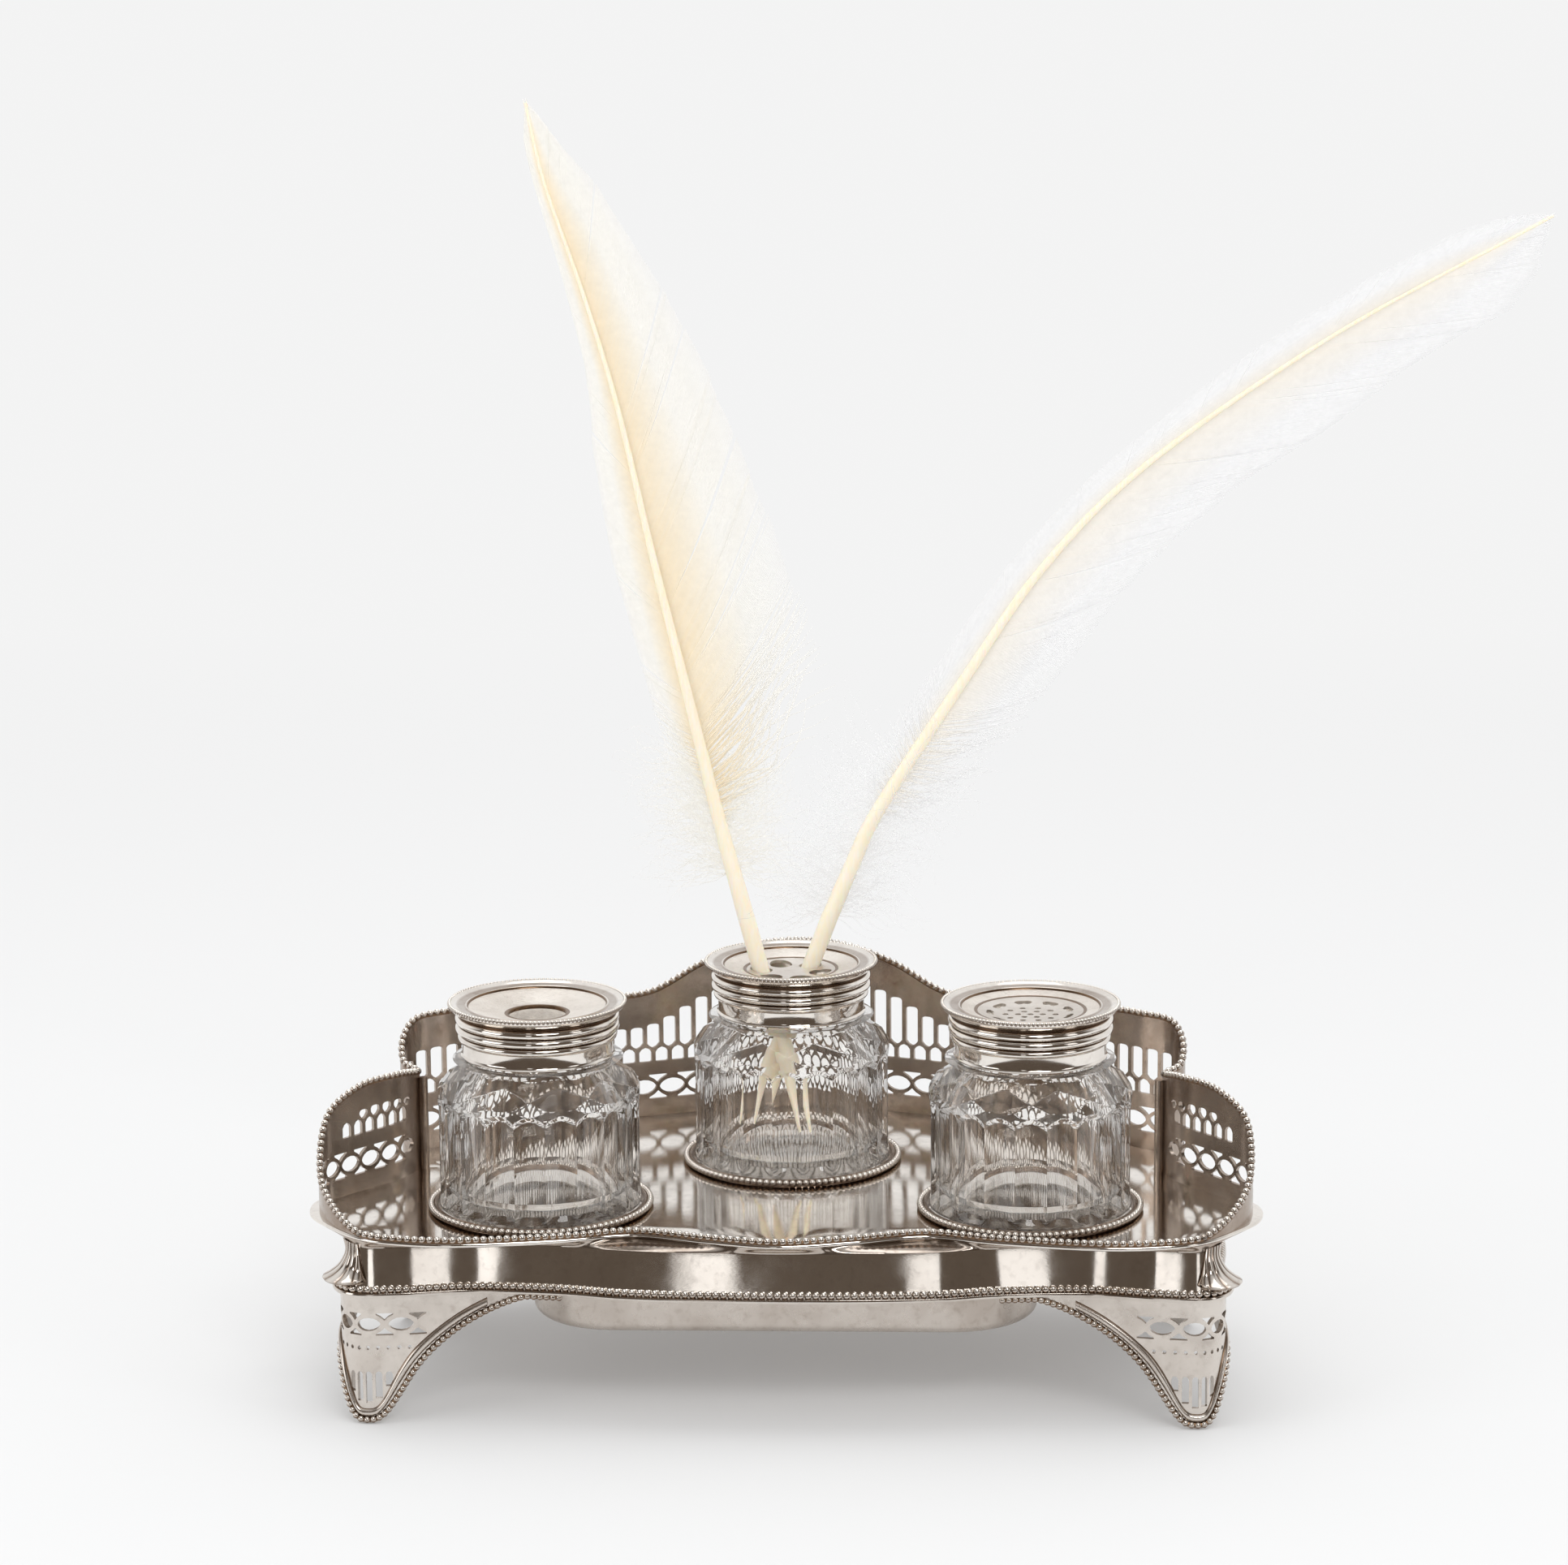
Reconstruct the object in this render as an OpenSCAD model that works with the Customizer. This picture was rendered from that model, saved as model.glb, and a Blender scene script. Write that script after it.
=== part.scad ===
/* [Tray] */
// Width of the tray across its side lobes
tray_w = 278; // [268:1:296]
// Depth of the tray from the front swell to the back of the bow
tray_d = 151; // [146:1:162]
// Thickness of the top plate
plate_t = 1.2; // [0.8:0.1:2]
// Height of the hollow band under the plate
cove_h = 13.9; // [11:0.1:17]
// Thickness of the hollow band
cove_t = 1; // [0.8:0.1:1.5]
// How far the hollow band curves in at its middle
cove_bow = 2.2; // [1:0.1:3]
// Thickness of the flat moulding under the band
mould_t = 1.3; // [1:0.1:2]
// Width of the flat moulding
mould_w = 8; // [7:0.5:10]

/* [Gallery] */
// Thickness of the pierced wall
wall_t = 1.1; // [0.8:0.1:1.5]
// Height of the wall's edge on the side lobes
side_rim_h = 31.5; // [29:0.5:34]
// Height of the wall's edge on the back corner lobes
lobe_rim_h = 41.5; // [39:0.5:44]
// Height of the wall's edge along the back
back_rim_h = 39; // [37:0.5:41]
// Height of the wall's edge at the middle of the back
peak_rim_h = 52.4; // [48:0.4:55]
// Spacing of the upright slots along the back
slot_pitch = 5.3; // [5:0.1:6]
// Spacing of the upright slots on the side walls
side_pitch = 4.6; // [4.4:0.1:5]
// Width of the metal left between two slots
slot_bar = 1.3; // [1:0.1:1.6]
// Solid band left under the beaded edge along the back
border_w = 9.8; // [8:0.2:11]
// Solid band left under the beaded edge on the side walls
side_border_w = 6.6; // [6:0.2:7.4]
// Width of the metal left between two eyes of the lattice row
eye_bar = 1.1; // [0.9:0.1:1.4]
// Height of the lattice row's lower edge above the plate
lattice_z = 5.4; // [4.6:0.2:6]
// Height of the lattice row
lattice_h = 7.8; // [7:0.2:8.4]
// Height of the small row's lower edge above the plate
small_z = 17.4; // [16.8:0.2:18.4]
// Height of the openings in the small row
small_h = 4.6; // [4.2:0.2:5]
// Depth of the points on slots and small openings
point_h = 1.5; // [1:0.1:1.8]

/* [Wires] */
// Radius of the beaded wire on the tray's edges
bead_r = 1.15; // [0.9:0.05:1.3]
// Radius of the beaded wire on the feet
foot_bead_r = 1; // [0.8:0.05:1.2]

/* [Feet] */
// Height of the feet under the moulding
foot_h = 38.2; // [34:0.2:42]
// Length of each wing of a foot, from its corner
foot_reach = 57; // [50:1:60]
// Half the length of the foot's flat toe
toe_l = 8; // [6:0.5:10]
// Thickness of the feet
foot_t = 1.4; // [1.2:0.1:2]
// How far the feet stand in from the moulding's edge
foot_inset = 2.2; // [1.5:0.1:3]
// Width of the raised border along a foot's swept edge
foot_border_w = 2.4; // [2:0.1:3]
// How far the raised border stands out
foot_border_t = 1; // [0.8:0.1:1.2]
// Spacing of the tall slots at the toe
foot_slot_pitch = 3.1; // [2.9:0.1:3.4]
// Spacing of the eyes in a foot's lattice row
foot_eye_pitch = 9.8; // [9:0.2:10.4]
// Depth of the pan below the moulding
pan_h = 14; // [10:0.5:16]
// How far the pan reaches in front of the side bottles' axes
pan_reach = 27.5; // [20:0.5:28]
// Thickness of the pan
pan_t = 1; // [0.8:0.1:1.5]

/* [Leaves] */
// How far a corner leaf's tip stands out from the band
leaf_reach = 7; // [5:0.1:7.5]
// Height of a leaf's ridges
leaf_ridge = 0.5; // [0.3:0.05:0.7]

/* [Bottles] */
// Radius of a bottle's body
body_r = 29.45; // [28.5:0.05:30.5]
// Height of the straight part of a bottle
body_h = 38; // [37:0.5:40]
// Height of a bottle's shoulder
shoulder_h = 8.2; // [7:0.2:9]
// Height of a bottle's neck above the shoulder
neck_h = 10.8; // [10:0.2:12]
// Outer radius of the neck
neck_r = 21.2; // [20.6:0.1:21.6]
// Thickness of the glass at the neck
neck_wall = 3.6; // [3:0.1:3.8]
// Thickness of the glass round the body
body_wall = 5; // [4:0.1:5.5]
// Thickness of the glass under the well
floor_t = 8.4; // [6:0.2:10]
// Number of flutes round the body
flute_n = 20; // [16:2:24]
// Radius of the tool that cuts a flute
flute_r = 7; // [6:0.5:9]
// Depth of a flute
flute_d = 0.8; // [0.5:0.1:1]
// Number of facets round the shoulder
facet_n = 10; // [8:1:12]
// Gap under a bottle on the plate
seat_gap = 0.1; // [0.05:0.05:0.3]
// Distance of the side bottles' rings from the side lobes
side_margin = 34.4; // [32:0.1:39]
// Distance of the side bottles' rings from the front edge
front_margin = 5.9; // [5.5:0.1:8]
// Distance of the middle bottle's ring from the back edge
back_margin = 28.4; // [27:0.1:31]

/* [Rings] */
// Clearance between a bottle and its ring
ring_gap = 0.45; // [0.3:0.05:0.6]
// Thickness of a ring at its foot
ring_t = 1.7; // [1.4:0.1:2]
// Height of the wire on a ring above the plate
ring_h = 1.7; // [1.6:0.1:2.4]
// Radius of the wire on a ring
ring_bead_r = 1.1; // [0.8:0.05:1.2]

/* [Caps] */
// Thickness of the collar round the neck
collar_t = 2; // [1.8:0.1:2.4]
// Height of the collar's plain band
collar_h = 6.9; // [6:0.1:7.5]
// Clearance between a cap and the collar's sleeve
cap_play = 0.3; // [0.2:0.05:0.4]
// Height of a cap from the collar to its rim
cap_h = 9.3; // [9:0.1:10]
// Outer radius of a cap's rim
cap_r = 26.1; // [25.8:0.1:27]
// Thickness of a cap's metal
cap_t = 0.9; // [0.8:0.05:1.1]
// Radius of the wire on a cap's rim
cap_bead_r = 0.7; // [0.6:0.05:0.8]
// Radius of the hole in the ink cap
ink_hole_r = 8.4; // [7:0.1:8.8]
// Depth of the dish in a cap's top
dish_drop = 4.2; // [3.6:0.1:4.4]
// Radius of a small hole in the pounce cap
pounce_hole_r = 0.9; // [0.7:0.05:1]
// Radius of the circle of quill holes
quill_ring_r = 9; // [8.8:0.1:9.4]
// Radius of a quill hole
quill_hole_r = 3.4; // [3.35:0.05:3.6]

/* [Quills] */
// Radius of a quill's barrel
barrel_r = 2.6; // [2.2:0.05:2.65]
// Radius of a quill at its upper end
tip_r = 0.5; // [0.4:0.05:0.8]
// Thickness of a feather's vane
vane_t = 0.7; // [0.6:0.1:1]

/* [Hidden] */

// The plan curves were drawn on a tray of this width and depth
plan_w = 278;
plan_d = 151;
// Steps of the smooth curves between two of their points
steps = 3;
silver = [0.72, 0.69, 0.65];
glass = [0.80, 0.87, 0.90, 0.45];
feather = [0.96, 0.94, 0.88];
// Height of a quill's nib above the bottom of the well
nib_gap = 1.2;
// How far the wire of a ring stands out from the ring's wall
ring_flare = 0.4;

// Half of the plate's edge: x, y, the height of the beaded edge above the plate, and how
// far the plate reaches out past the pierced wall
plate_front = [
    [0, -75.5, 0, 0], [21, -71, 0, 0], [42, -65, 0, 0], [62, -70.5, 0, 0], [92, -75.5, 0, 0],
    [111, -73.5, 0, 0], [121, -69, 0, 0], [130.5, -58.5, 0.14 * side_rim_h, 0.5],
    [138, -46.5, 0.38 * side_rim_h, 2.4], [138, -33, 0.76 * side_rim_h, 2.8],
    [128.5, -21.5, 0.98 * side_rim_h, 1.6], [118, -10.5, side_rim_h, 0.4],
    [112.5, 1, 0.93 * side_rim_h, 0]
];
plate_back = [
    [112.5, 1, 0.71 * lobe_rim_h, 0], [117.5, 7, 0.74 * lobe_rim_h, 0],
    [118.5, 14, 0.87 * lobe_rim_h, 0], [115, 21, 0.98 * lobe_rim_h, 0],
    [106, 27, lobe_rim_h, 0], [95, 36, 0.99 * lobe_rim_h, 0], [83, 46, 0.97 * lobe_rim_h, 0],
    [66, 54, back_rim_h, 0], [47, 61, back_rim_h, 0],
    [30, 67.5, back_rim_h + 0.6 * (peak_rim_h - back_rim_h), 0],
    [15, 72.5, back_rim_h + 0.93 * (peak_rim_h - back_rim_h), 0], [0, 75.5, peak_rim_h, 0]
];
// Half of the moulding's edge, point for point beside the plate's edge
base_front = [
    [0, -78.5], [24, -78], [46, -76], [64, -72], [88, -70.5], [108, -74], [123, -74],
    [129.5, -64], [127, -50], [128.5, -36], [129, -22], [126, -9], [120.5, 2]
];
base_back = [
    [120.5, 2], [121, 8], [123, 16], [120, 25], [110, 32], [98.5, 41], [85.5, 51],
    [68, 58.5], [48.5, 65.5], [31, 72], [15.5, 77], [0, 80]
];

function unit(v) = v / norm(v);
function flat(p) = [p[0], p[1]];
// A point of the plan at the tray's own size, measured from the line of the side bottles
function sized(p) = [p[0] * tray_w / plan_w, p[1] * tray_d / plan_d - line_y,
    len(p) > 2 ? p[2] : 0, len(p) > 2 ? p[3] : 0];
function flip(p) = [-p[0], p[1], p[2], p[3]];
function last(p) = p[len(p) - 1];
// A smooth curve through four points in turn, between the second and the third
function blend(a, b, c, d, t) =
    0.5 * (2 * b + (c - a) * t + (2 * a - 5 * b + 4 * c - d) * t * t
    + (3 * b - a - 3 * c + d) * t * t * t);
function open_at(p, i) =
    i < 0 ? 2 * p[0] - p[1] : i >= len(p) ? 2 * last(p) - p[len(p) - 2] : p[i];
function open_curve(p, k) = [
    for (i = [0 : len(p) - 2]) for (j = [0 : k - 1])
        blend(open_at(p, i - 1), p[i], p[i + 1], open_at(p, i + 2), j / k),
    last(p)
];
function ring_at(p, i) = p[(i + len(p)) % len(p)];
function ring_curve(p, k) = [
    for (i = [0 : len(p) - 1]) for (j = [0 : k - 1])
        blend(ring_at(p, i - 1), p[i], ring_at(p, i + 1), ring_at(p, i + 2), j / k)
];
// The outward side of a closed curve that runs anticlockwise
function ring_normal(p, i) =
    let (t = unit(flat(ring_at(p, i + 1)) - flat(ring_at(p, i - 1)))) [t[1], -t[0]];
function ring_inset(p, d) = [
    for (i = [0 : len(p) - 1]) flat(p[i]) - d * ring_normal(p, i)
];

// Places of the bottles on the plate
ring_out = body_r + ring_gap + ring_t + ring_flare + ring_bead_r;
line_y = -tray_d / 2 + front_margin + ring_out;
side_x = tray_w / 2 - side_margin - ring_out;
ink_at = [-side_x, 0, 0];
pounce_at = [side_x, 0, 0];
quill_at = [0, tray_d / 2 - back_margin - ring_out - line_y, 0];

front_half = [for (p = plate_front) sized(p)];
back_half = [for (p = plate_back) sized(p)];
front_n = len(front_half) - 1;
back_n = len(back_half) - 1;
front_line = concat([for (i = [front_n : -1 : 1]) flip(front_half[i])], front_half);
back_line = concat(back_half, [for (i = [back_n - 1 : -1 : 0]) flip(back_half[i])]);
front_edge = open_curve(front_line, steps);
back_edge = open_curve(back_line, steps);
// The whole edge from the left cusp along the front to the right cusp and back
plate_edge = concat(front_edge, [for (i = [1 : len(back_edge) - 2]) back_edge[i]]);
cusp_right = len(front_edge) - 1;
edge_n = len(plate_edge);
// The plate's edge drawn in to a line of the pierced wall
function wall_inset(d) = [for (i = [0 : edge_n - 1])
    flat(plate_edge[i]) - (d + max(0, plate_edge[i][3])) * ring_normal(plate_edge, i)];
base_half = [for (p = base_front) sized(p)];
base_rest = [for (p = base_back) sized(p)];
base_points = concat(
    [for (i = [front_n : -1 : 1]) flip(base_half[i])], base_half,
    [for (i = [1 : back_n]) base_rest[i]], [for (i = [back_n - 1 : -1 : 1]) flip(base_rest[i])]
);
base_edge = ring_curve(base_points, steps);
// Where the beaded edge leaves the plate and climbs on to the gallery
climb_right = cusp_right - 6 * steps;
climb_left = 6 * steps;

// Heights, from the plate's top down to the floor
cove_top = -plate_t;
mould_top = cove_top - cove_h;
mould_low = mould_top - mould_t;
floor_z = mould_low - foot_h;
pan_floor = mould_low - pan_h;
rim_gap = 0.3;
wire_sink = 0.3;

shoulder_z = seat_gap + body_h;
neck_z = shoulder_z + shoulder_h;
lip_z = neck_z + neck_h;
well_z = seat_gap + floor_t;
well_r = body_r - body_wall;
throat_r = neck_r - neck_wall;
band_z = neck_z - 0.3;
cap_z = band_z + collar_h;
top_z = cap_z + cap_h;
sleeve_r = neck_r + 0.7;
skirt_r = sleeve_r + cap_play;
collar_r = neck_r + collar_t;
// The dish of a cap: a cone from its edge down to a flat middle
dish_rim = 1.8;
dish_r = cap_r - 5.9;
dish_in = 9.2;
function dish_at(r) = top_z - dish_rim
    - (dish_drop - dish_rim) * min(1, (dish_r - r) / (dish_r - dish_in));
dish_z = top_z - dish_drop - cap_t;

// Triangles between two neighbouring rows of points
function band_faces(rows, m) = [
    for (i = [0 : rows - 2]) for (j = [0 : m - 1])
        each [[i * m + j, (i + 1) * m + j, (i + 1) * m + (j + 1) % m],
              [i * m + j, (i + 1) * m + (j + 1) % m, i * m + (j + 1) % m]]
];
function end_faces(rows, m) = [
    for (j = [1 : m - 2]) each [[0, j, j + 1],
        [(rows - 1) * m, (rows - 1) * m + j + 1, (rows - 1) * m + j]]
];
// A solid between rows of points; each row runs the same way round its section
module loft(rows, closed = false) {
    n = len(rows);
    m = len(rows[0]);
    pts = [for (r = rows) each r];
    wrap = [for (j = [0 : m - 1]) each [[(n - 1) * m + j, j, (j + 1) % m],
        [(n - 1) * m + j, (j + 1) % m, (n - 1) * m + (j + 1) % m]]];
    polyhedron(pts, concat(band_faces(n, m), closed ? wrap : end_faces(n, m)), convexity = 10);
}
// One row of a round wire: its middle, its side vector and its direction
function wire_row(p, side, along, r, m) = let (up = cross(along, side)) [
    for (j = [0 : m - 1]) p + r * (side * cos(360 * j / m) + up * sin(360 * j / m))
];
function lift(p, z) = [p[0], p[1], z];

// A length along a line of points and the place at a given length
function lengths(p, i = 1, sum = [0]) =
    i >= len(p) ? sum : lengths(p, i + 1, concat(sum, [last(sum) + norm(flat(p[i]) - flat(p[i - 1]))]));
function place(p, s, l, i = 1) =
    i >= len(p) - 1 || l[i] >= s
        ? let (f = (s - l[i - 1]) / (l[i] - l[i - 1])) p[i - 1] + f * (p[i] - p[i - 1])
        : place(p, s, l, i + 1);

module top_plate() {
    color(silver) translate([0, 0, -plate_t]) linear_extrude(plate_t)
        polygon([for (p = plate_edge) flat(p)]);
}

// The hollow band's section at one place, inner side first
cove_foot = ring_inset(base_edge, 2 * bead_r + 0.5);
cove_head = ring_inset(plate_edge, 0.6);
cove_rows = [0, 0.28, 0.55, 0.8, 1];
function cove_point(i, f, in) =
    let (n = ring_normal(base_edge, i), a = cove_foot[i], b = cove_head[i],
         p = a + (b - a) * f - n * (in + cove_bow * 4 * f * (1 - f)))
    [p[0], p[1], mould_top + cove_h * f];
module cove_band() {
    rows = [for (i = [0 : edge_n - 1]) concat(
        [for (f = cove_rows) cove_point(i, f, cove_t)],
        [for (k = [len(cove_rows) - 1 : -1 : 0]) cove_point(i, cove_rows[k], 0)])];
    color(silver) loft(rows, closed = true);
}

module base_moulding() {
    color(silver) translate([0, 0, mould_low]) linear_extrude(mould_t) difference() {
        polygon([for (p = base_edge) flat(p)]);
        polygon(ring_inset(base_edge, mould_w));
    }
}

// A pan with a flange that closes the underside
pan_x = 0.27 * tray_w;
pan_front = -pan_reach;
pan_rear = 25;
pan_back = quill_at[1] + pan_rear;
pan_round = 26;
module pan_plan(in) {
    r = pan_round - in;
    for (x = [-1, 1], y = [pan_front + pan_round, pan_back - pan_round])
        translate([x * (pan_x - pan_round), y]) circle(r, $fn = 48);
    translate([-pan_x + pan_round, pan_front + in])
        square([2 * (pan_x - pan_round), pan_back - pan_front - 2 * in]);
    translate([-pan_x + in, pan_front + pan_round])
        square([2 * (pan_x - in), pan_back - pan_front - 2 * pan_round]);
}
module under_pan() {
    color(silver) union() {
        translate([0, 0, mould_low - pan_t]) linear_extrude(pan_t) difference() {
            polygon(ring_inset(base_edge, foot_inset + foot_t + 0.4));
            pan_plan(pan_t);
        }
        translate([0, 0, pan_floor]) linear_extrude(pan_t) pan_plan(0);
        translate([0, 0, pan_floor]) linear_extrude(pan_h) difference() {
            pan_plan(0);
            pan_plan(pan_t);
        }
    }
}

// Wires along an edge, given by where they run between two places on it
wire_m = 6;
function edge_wire(edge, line, a, b, r, z) = [
    for (i = [a : b])
        let (c = (i + len(edge)) % len(edge), n = ring_normal(edge, c),
             p = line[c], q = line[(c + 1) % len(edge)], o = line[(c - 1 + len(edge)) % len(edge)],
             t = unit(i == a ? q - p : i == b ? p - o : q - o),
             side = unit([n[0], n[1], 0] - t * (t * [n[0], n[1], 0])))
        wire_row(p + [0, 0, z], side, t, r, wire_m)
];
wall_mid = wall_inset(rim_gap + wall_t / 2);
rim_line = [for (i = [0 : edge_n - 1]) lift(wall_mid[i], max(0, plate_edge[i][2]))];
base_mid = ring_inset(base_edge, bead_r + 0.1);
base_line = [for (i = [0 : edge_n - 1]) lift(base_mid[i], mould_top)];

module front_bead() {
    color(silver) loft(edge_wire(plate_edge, rim_line, climb_left, climb_right, bead_r,
        bead_r - wire_sink));
}
module base_bead() {
    color(silver) loft(edge_wire(base_edge, base_line, 0, edge_n - 1, bead_r,
        bead_r - wire_sink), closed = true);
}
module border_left() {
    color(silver) loft(edge_wire(plate_edge, rim_line, 0, climb_left, bead_r,
        bead_r - wire_sink));
}
module border_right() {
    color(silver) loft(edge_wire(plate_edge, rim_line, climb_right, cusp_right, bead_r,
        bead_r - wire_sink));
}
module border_back() {
    color(silver) loft(edge_wire(plate_edge, rim_line, cusp_right, edge_n, bead_r,
        bead_r - wire_sink));
}

// The pierced wall between two places on the edge
wall_out = wall_inset(rim_gap);
wall_in = wall_inset(rim_gap + wall_t);
function wall_top(i) = max(0.02, plate_edge[i % edge_n][2]);
module wall_strip(a, b) {
    loft([for (i = [a : b]) let (c = i % edge_n) [
        lift(wall_out[c], 0), lift(wall_in[c], 0),
        lift(wall_in[c], wall_top(c)), lift(wall_out[c], wall_top(c))]]);
}
// Cut off the upper corners of a slot
slot_cut = 0.8;
module slot(w, low, high) {
    polygon([[-w / 2, low + point_h], [0, low], [w / 2, low + point_h],
        [w / 2, high - slot_cut], [w / 2 - slot_cut, high], [slot_cut - w / 2, high],
        [-w / 2, high - slot_cut]]);
}
module small_opening(w) {
    polygon([[-w / 2, small_z], [w / 2, small_z], [w / 2, small_z + small_h - point_h],
        [0, small_z + small_h], [-w / 2, small_z + small_h - point_h]]);
}
// An eye and, above or below the crossing of two eyes, a three-cornered opening
module eye(w, h, z) {
    polygon([[-w / 2, z], [-w / 4, z - h / 2], [w / 4, z - h / 2], [w / 2, z],
        [w / 4, z + h / 2], [-w / 4, z + h / 2]]);
}
module half_eye(pitch, h, z, up) {
    polygon([[0, z + up * 0.36 * h / 2], [0.33 * pitch, z + up * h / 2],
        [-0.33 * pitch, z + up * h / 2]]);
}
module pierce_at(line, l, s) {
    p = place(line, s, l);
    q = place(line, s + 0.5, l);
    translate([p[0], p[1], 0]) rotate(atan2(q[1] - p[1], q[0] - p[0])) rotate([90, 0, 0])
        linear_extrude(8 * wall_t, center = true) children();
}
// Shortest slot worth cutting, spacing of the eyes in slots, and height of an eye in its row
slot_least = point_h + slot_cut + 0.2;
eye_share = 1.75;
eye_high = 0.54;
slot_low = small_z + small_h - point_h + slot_bar;
lattice_mid = lattice_z + lattice_h / 2;
module pierced_wall(a, b, pitch, border) {
    line = [for (i = [a : b]) lift(wall_mid[i % edge_n], wall_top(i % edge_n))];
    l = lengths(line);
    total = last(l);
    count = floor((total - 2 * pitch) / pitch / 2) * 2;
    start = (total - count * pitch) / 2;
    eyes = eye_share * pitch;
    eye_count = floor((total - 1.2 * eyes) / eyes);
    eye_start = (total - eye_count * eyes) / 2;
    lattice_clear = lattice_z + lattice_h + border / 2;
    difference() {
        wall_strip(a, b);
        for (j = [0 : count]) {
            s = start + j * pitch;
            edge = place(line, s, l)[2] - border;
            if (edge > slot_low + slot_least)
                pierce_at(line, l, s) slot(pitch - slot_bar, slot_low, edge);
            near = place(line, s + pitch / 2, l)[2];
            if (j < count && near - 0.8 * border > small_z + small_h)
                pierce_at(line, l, s + pitch / 2) small_opening(pitch - slot_bar);
        }
        for (j = [0 : eye_count]) {
            s = eye_start + j * eyes;
            if (place(line, s, l)[2] > lattice_clear)
                pierce_at(line, l, s) eye(eyes - eye_bar, eye_high * lattice_h, lattice_mid);
            if (j < eye_count && place(line, s + eyes / 2, l)[2] > lattice_clear)
                pierce_at(line, l, s + eyes / 2) union() {
                    half_eye(eyes, lattice_h, lattice_mid, 1);
                    half_eye(eyes, lattice_h, lattice_mid, -1);
                }
        }
    }
}
module gallery_left() {
    color(silver) pierced_wall(0, climb_left, side_pitch, side_border_w);
}
module gallery_right() {
    color(silver) pierced_wall(climb_right, cusp_right, side_pitch, side_border_w);
}
module gallery_back() {
    color(silver) pierced_wall(cusp_right, edge_n, slot_pitch, border_w);
}
// Upright half-round strips that cover the joint of two walls
post_r = 1.3;
module post(i) {
    p = wall_in[i % edge_n];
    h = plate_edge[i % edge_n][2];
    color(silver) translate([p[0] - sign(p[0]) * (post_r - rim_gap), p[1], 0])
        cylinder(h - 1, r = post_r, $fn = 24);
}
module post_left() {
    post(0);
}
module post_right() {
    post(cusp_right);
}

// Feet: a strip under the moulding with a swept lower edge
base_l = lengths(concat(base_edge, [base_edge[0]]));
front_corner = cusp_right - 6 * steps;
rear_corner = cusp_right + 3 * steps;
function length_at(i) = base_l[floor(i)] + (i - floor(i)) * (base_l[floor(i) + 1] - base_l[floor(i)]);
// Share of its height at which a foot's lower edge runs: flat at the toe, then a curve
function sweep(t) =
    let (u = (abs(t) - toe_l) / (foot_reach - toe_l), v = min(1, (abs(t) - toe_l) / toe_l))
    u <= 0 ? 0 : (1 - pow(1 - min(1, u), 2)) * v * v * (3 - 2 * v);
// Where a front foot's wing ends and a rear foot's begins, along the side
side_mid = (length_at(front_corner) + length_at(rear_corner)) / 2;
function foot_places(c) = [
    for (i = [0 : edge_n - 1])
        if (abs(base_l[i] - length_at(c)) <= foot_reach
            && (c == front_corner ? base_l[i] < side_mid - foot_t : base_l[i] > side_mid + foot_t)) i
];
foot_out = ring_inset(base_edge, foot_inset);
foot_in = ring_inset(base_edge, foot_inset + foot_t);
function foot_low(c, i) = min(mould_low - 0.6, floor_z + foot_h * sweep(base_l[i] - length_at(c)));
module foot_sheet(c) {
    loft([for (i = foot_places(c)) let (z = foot_low(c, i)) [
        lift(foot_out[i], z), lift(foot_in[i], z),
        lift(foot_in[i], mould_low), lift(foot_out[i], mould_low)]]);
}
// Steepness of the swept edge at a place
function foot_rise(c, i) =
    (foot_low(c, i + 1) - foot_low(c, i - 1)) / (base_l[i + 1] - base_l[i - 1]);
// Room that the raised border needs under the moulding
border_room = 7;
module foot_border(c) {
    loft([for (i = foot_places(c)) if (foot_low(c, i) < mould_low - border_room)
        let (n = ring_normal(base_edge, i), o = foot_out[i], k = norm([1, foot_rise(c, i)]),
             low = foot_low(c, i) + 2 * foot_bead_r * k, high = low + foot_border_w * k)
        [lift(o + n * foot_border_t / 2, low), lift(o - n * wire_sink, low),
         lift(o - n * wire_sink, high), lift(o + n * foot_border_t / 2, high),
         lift(o + n * foot_border_t, (low + high) / 2)]]);
}
// Openings of a foot, by distance from its corner and height above the floor
foot_eye_z = 29.6;
foot_eye_h = 6.6;
foot_eye_bar = 2.2;
foot_half_bar = 2;
foot_slot_top = 15.5;
foot_slot_bar = 1;
foot_clear = 6;
function foot_edge(t) = foot_h * sweep(t);
module foot_openings(line, l, s) {
    for (k = [-2 : 1]) pierce_at(line, l, s + foot_eye_pitch * (k + 0.5))
        translate([0, floor_z]) eye(foot_eye_pitch - foot_eye_bar, eye_high * foot_eye_h, foot_eye_z);
    for (k = [-2 : 2], up = [-1, 1]) pierce_at(line, l, s + foot_eye_pitch * k)
        translate([0, floor_z]) half_eye(foot_eye_pitch - foot_half_bar, foot_eye_h, foot_eye_z, up);
    w = foot_slot_pitch - foot_slot_bar;
    for (k = [-4 : 3]) let (t = foot_slot_pitch * (k + 0.5))
        pierce_at(line, l, s + t) translate([-w / 2, floor_z + foot_edge(abs(t) + w / 2) + foot_clear])
            square([w, foot_slot_top - foot_edge(abs(t) + w / 2) - foot_clear]);
}
foot_mid = ring_inset(base_edge, foot_inset + foot_t / 2);
module foot(c) {
    at = foot_places(c);
    line = [for (i = at) lift(foot_mid[i], 0)];
    l = lengths(line);
    corner = search(c, at)[0];
    difference() {
        union() {
            foot_sheet(c);
            foot_border(c);
        }
        foot_openings(line, l, l[corner]);
    }
}
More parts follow.
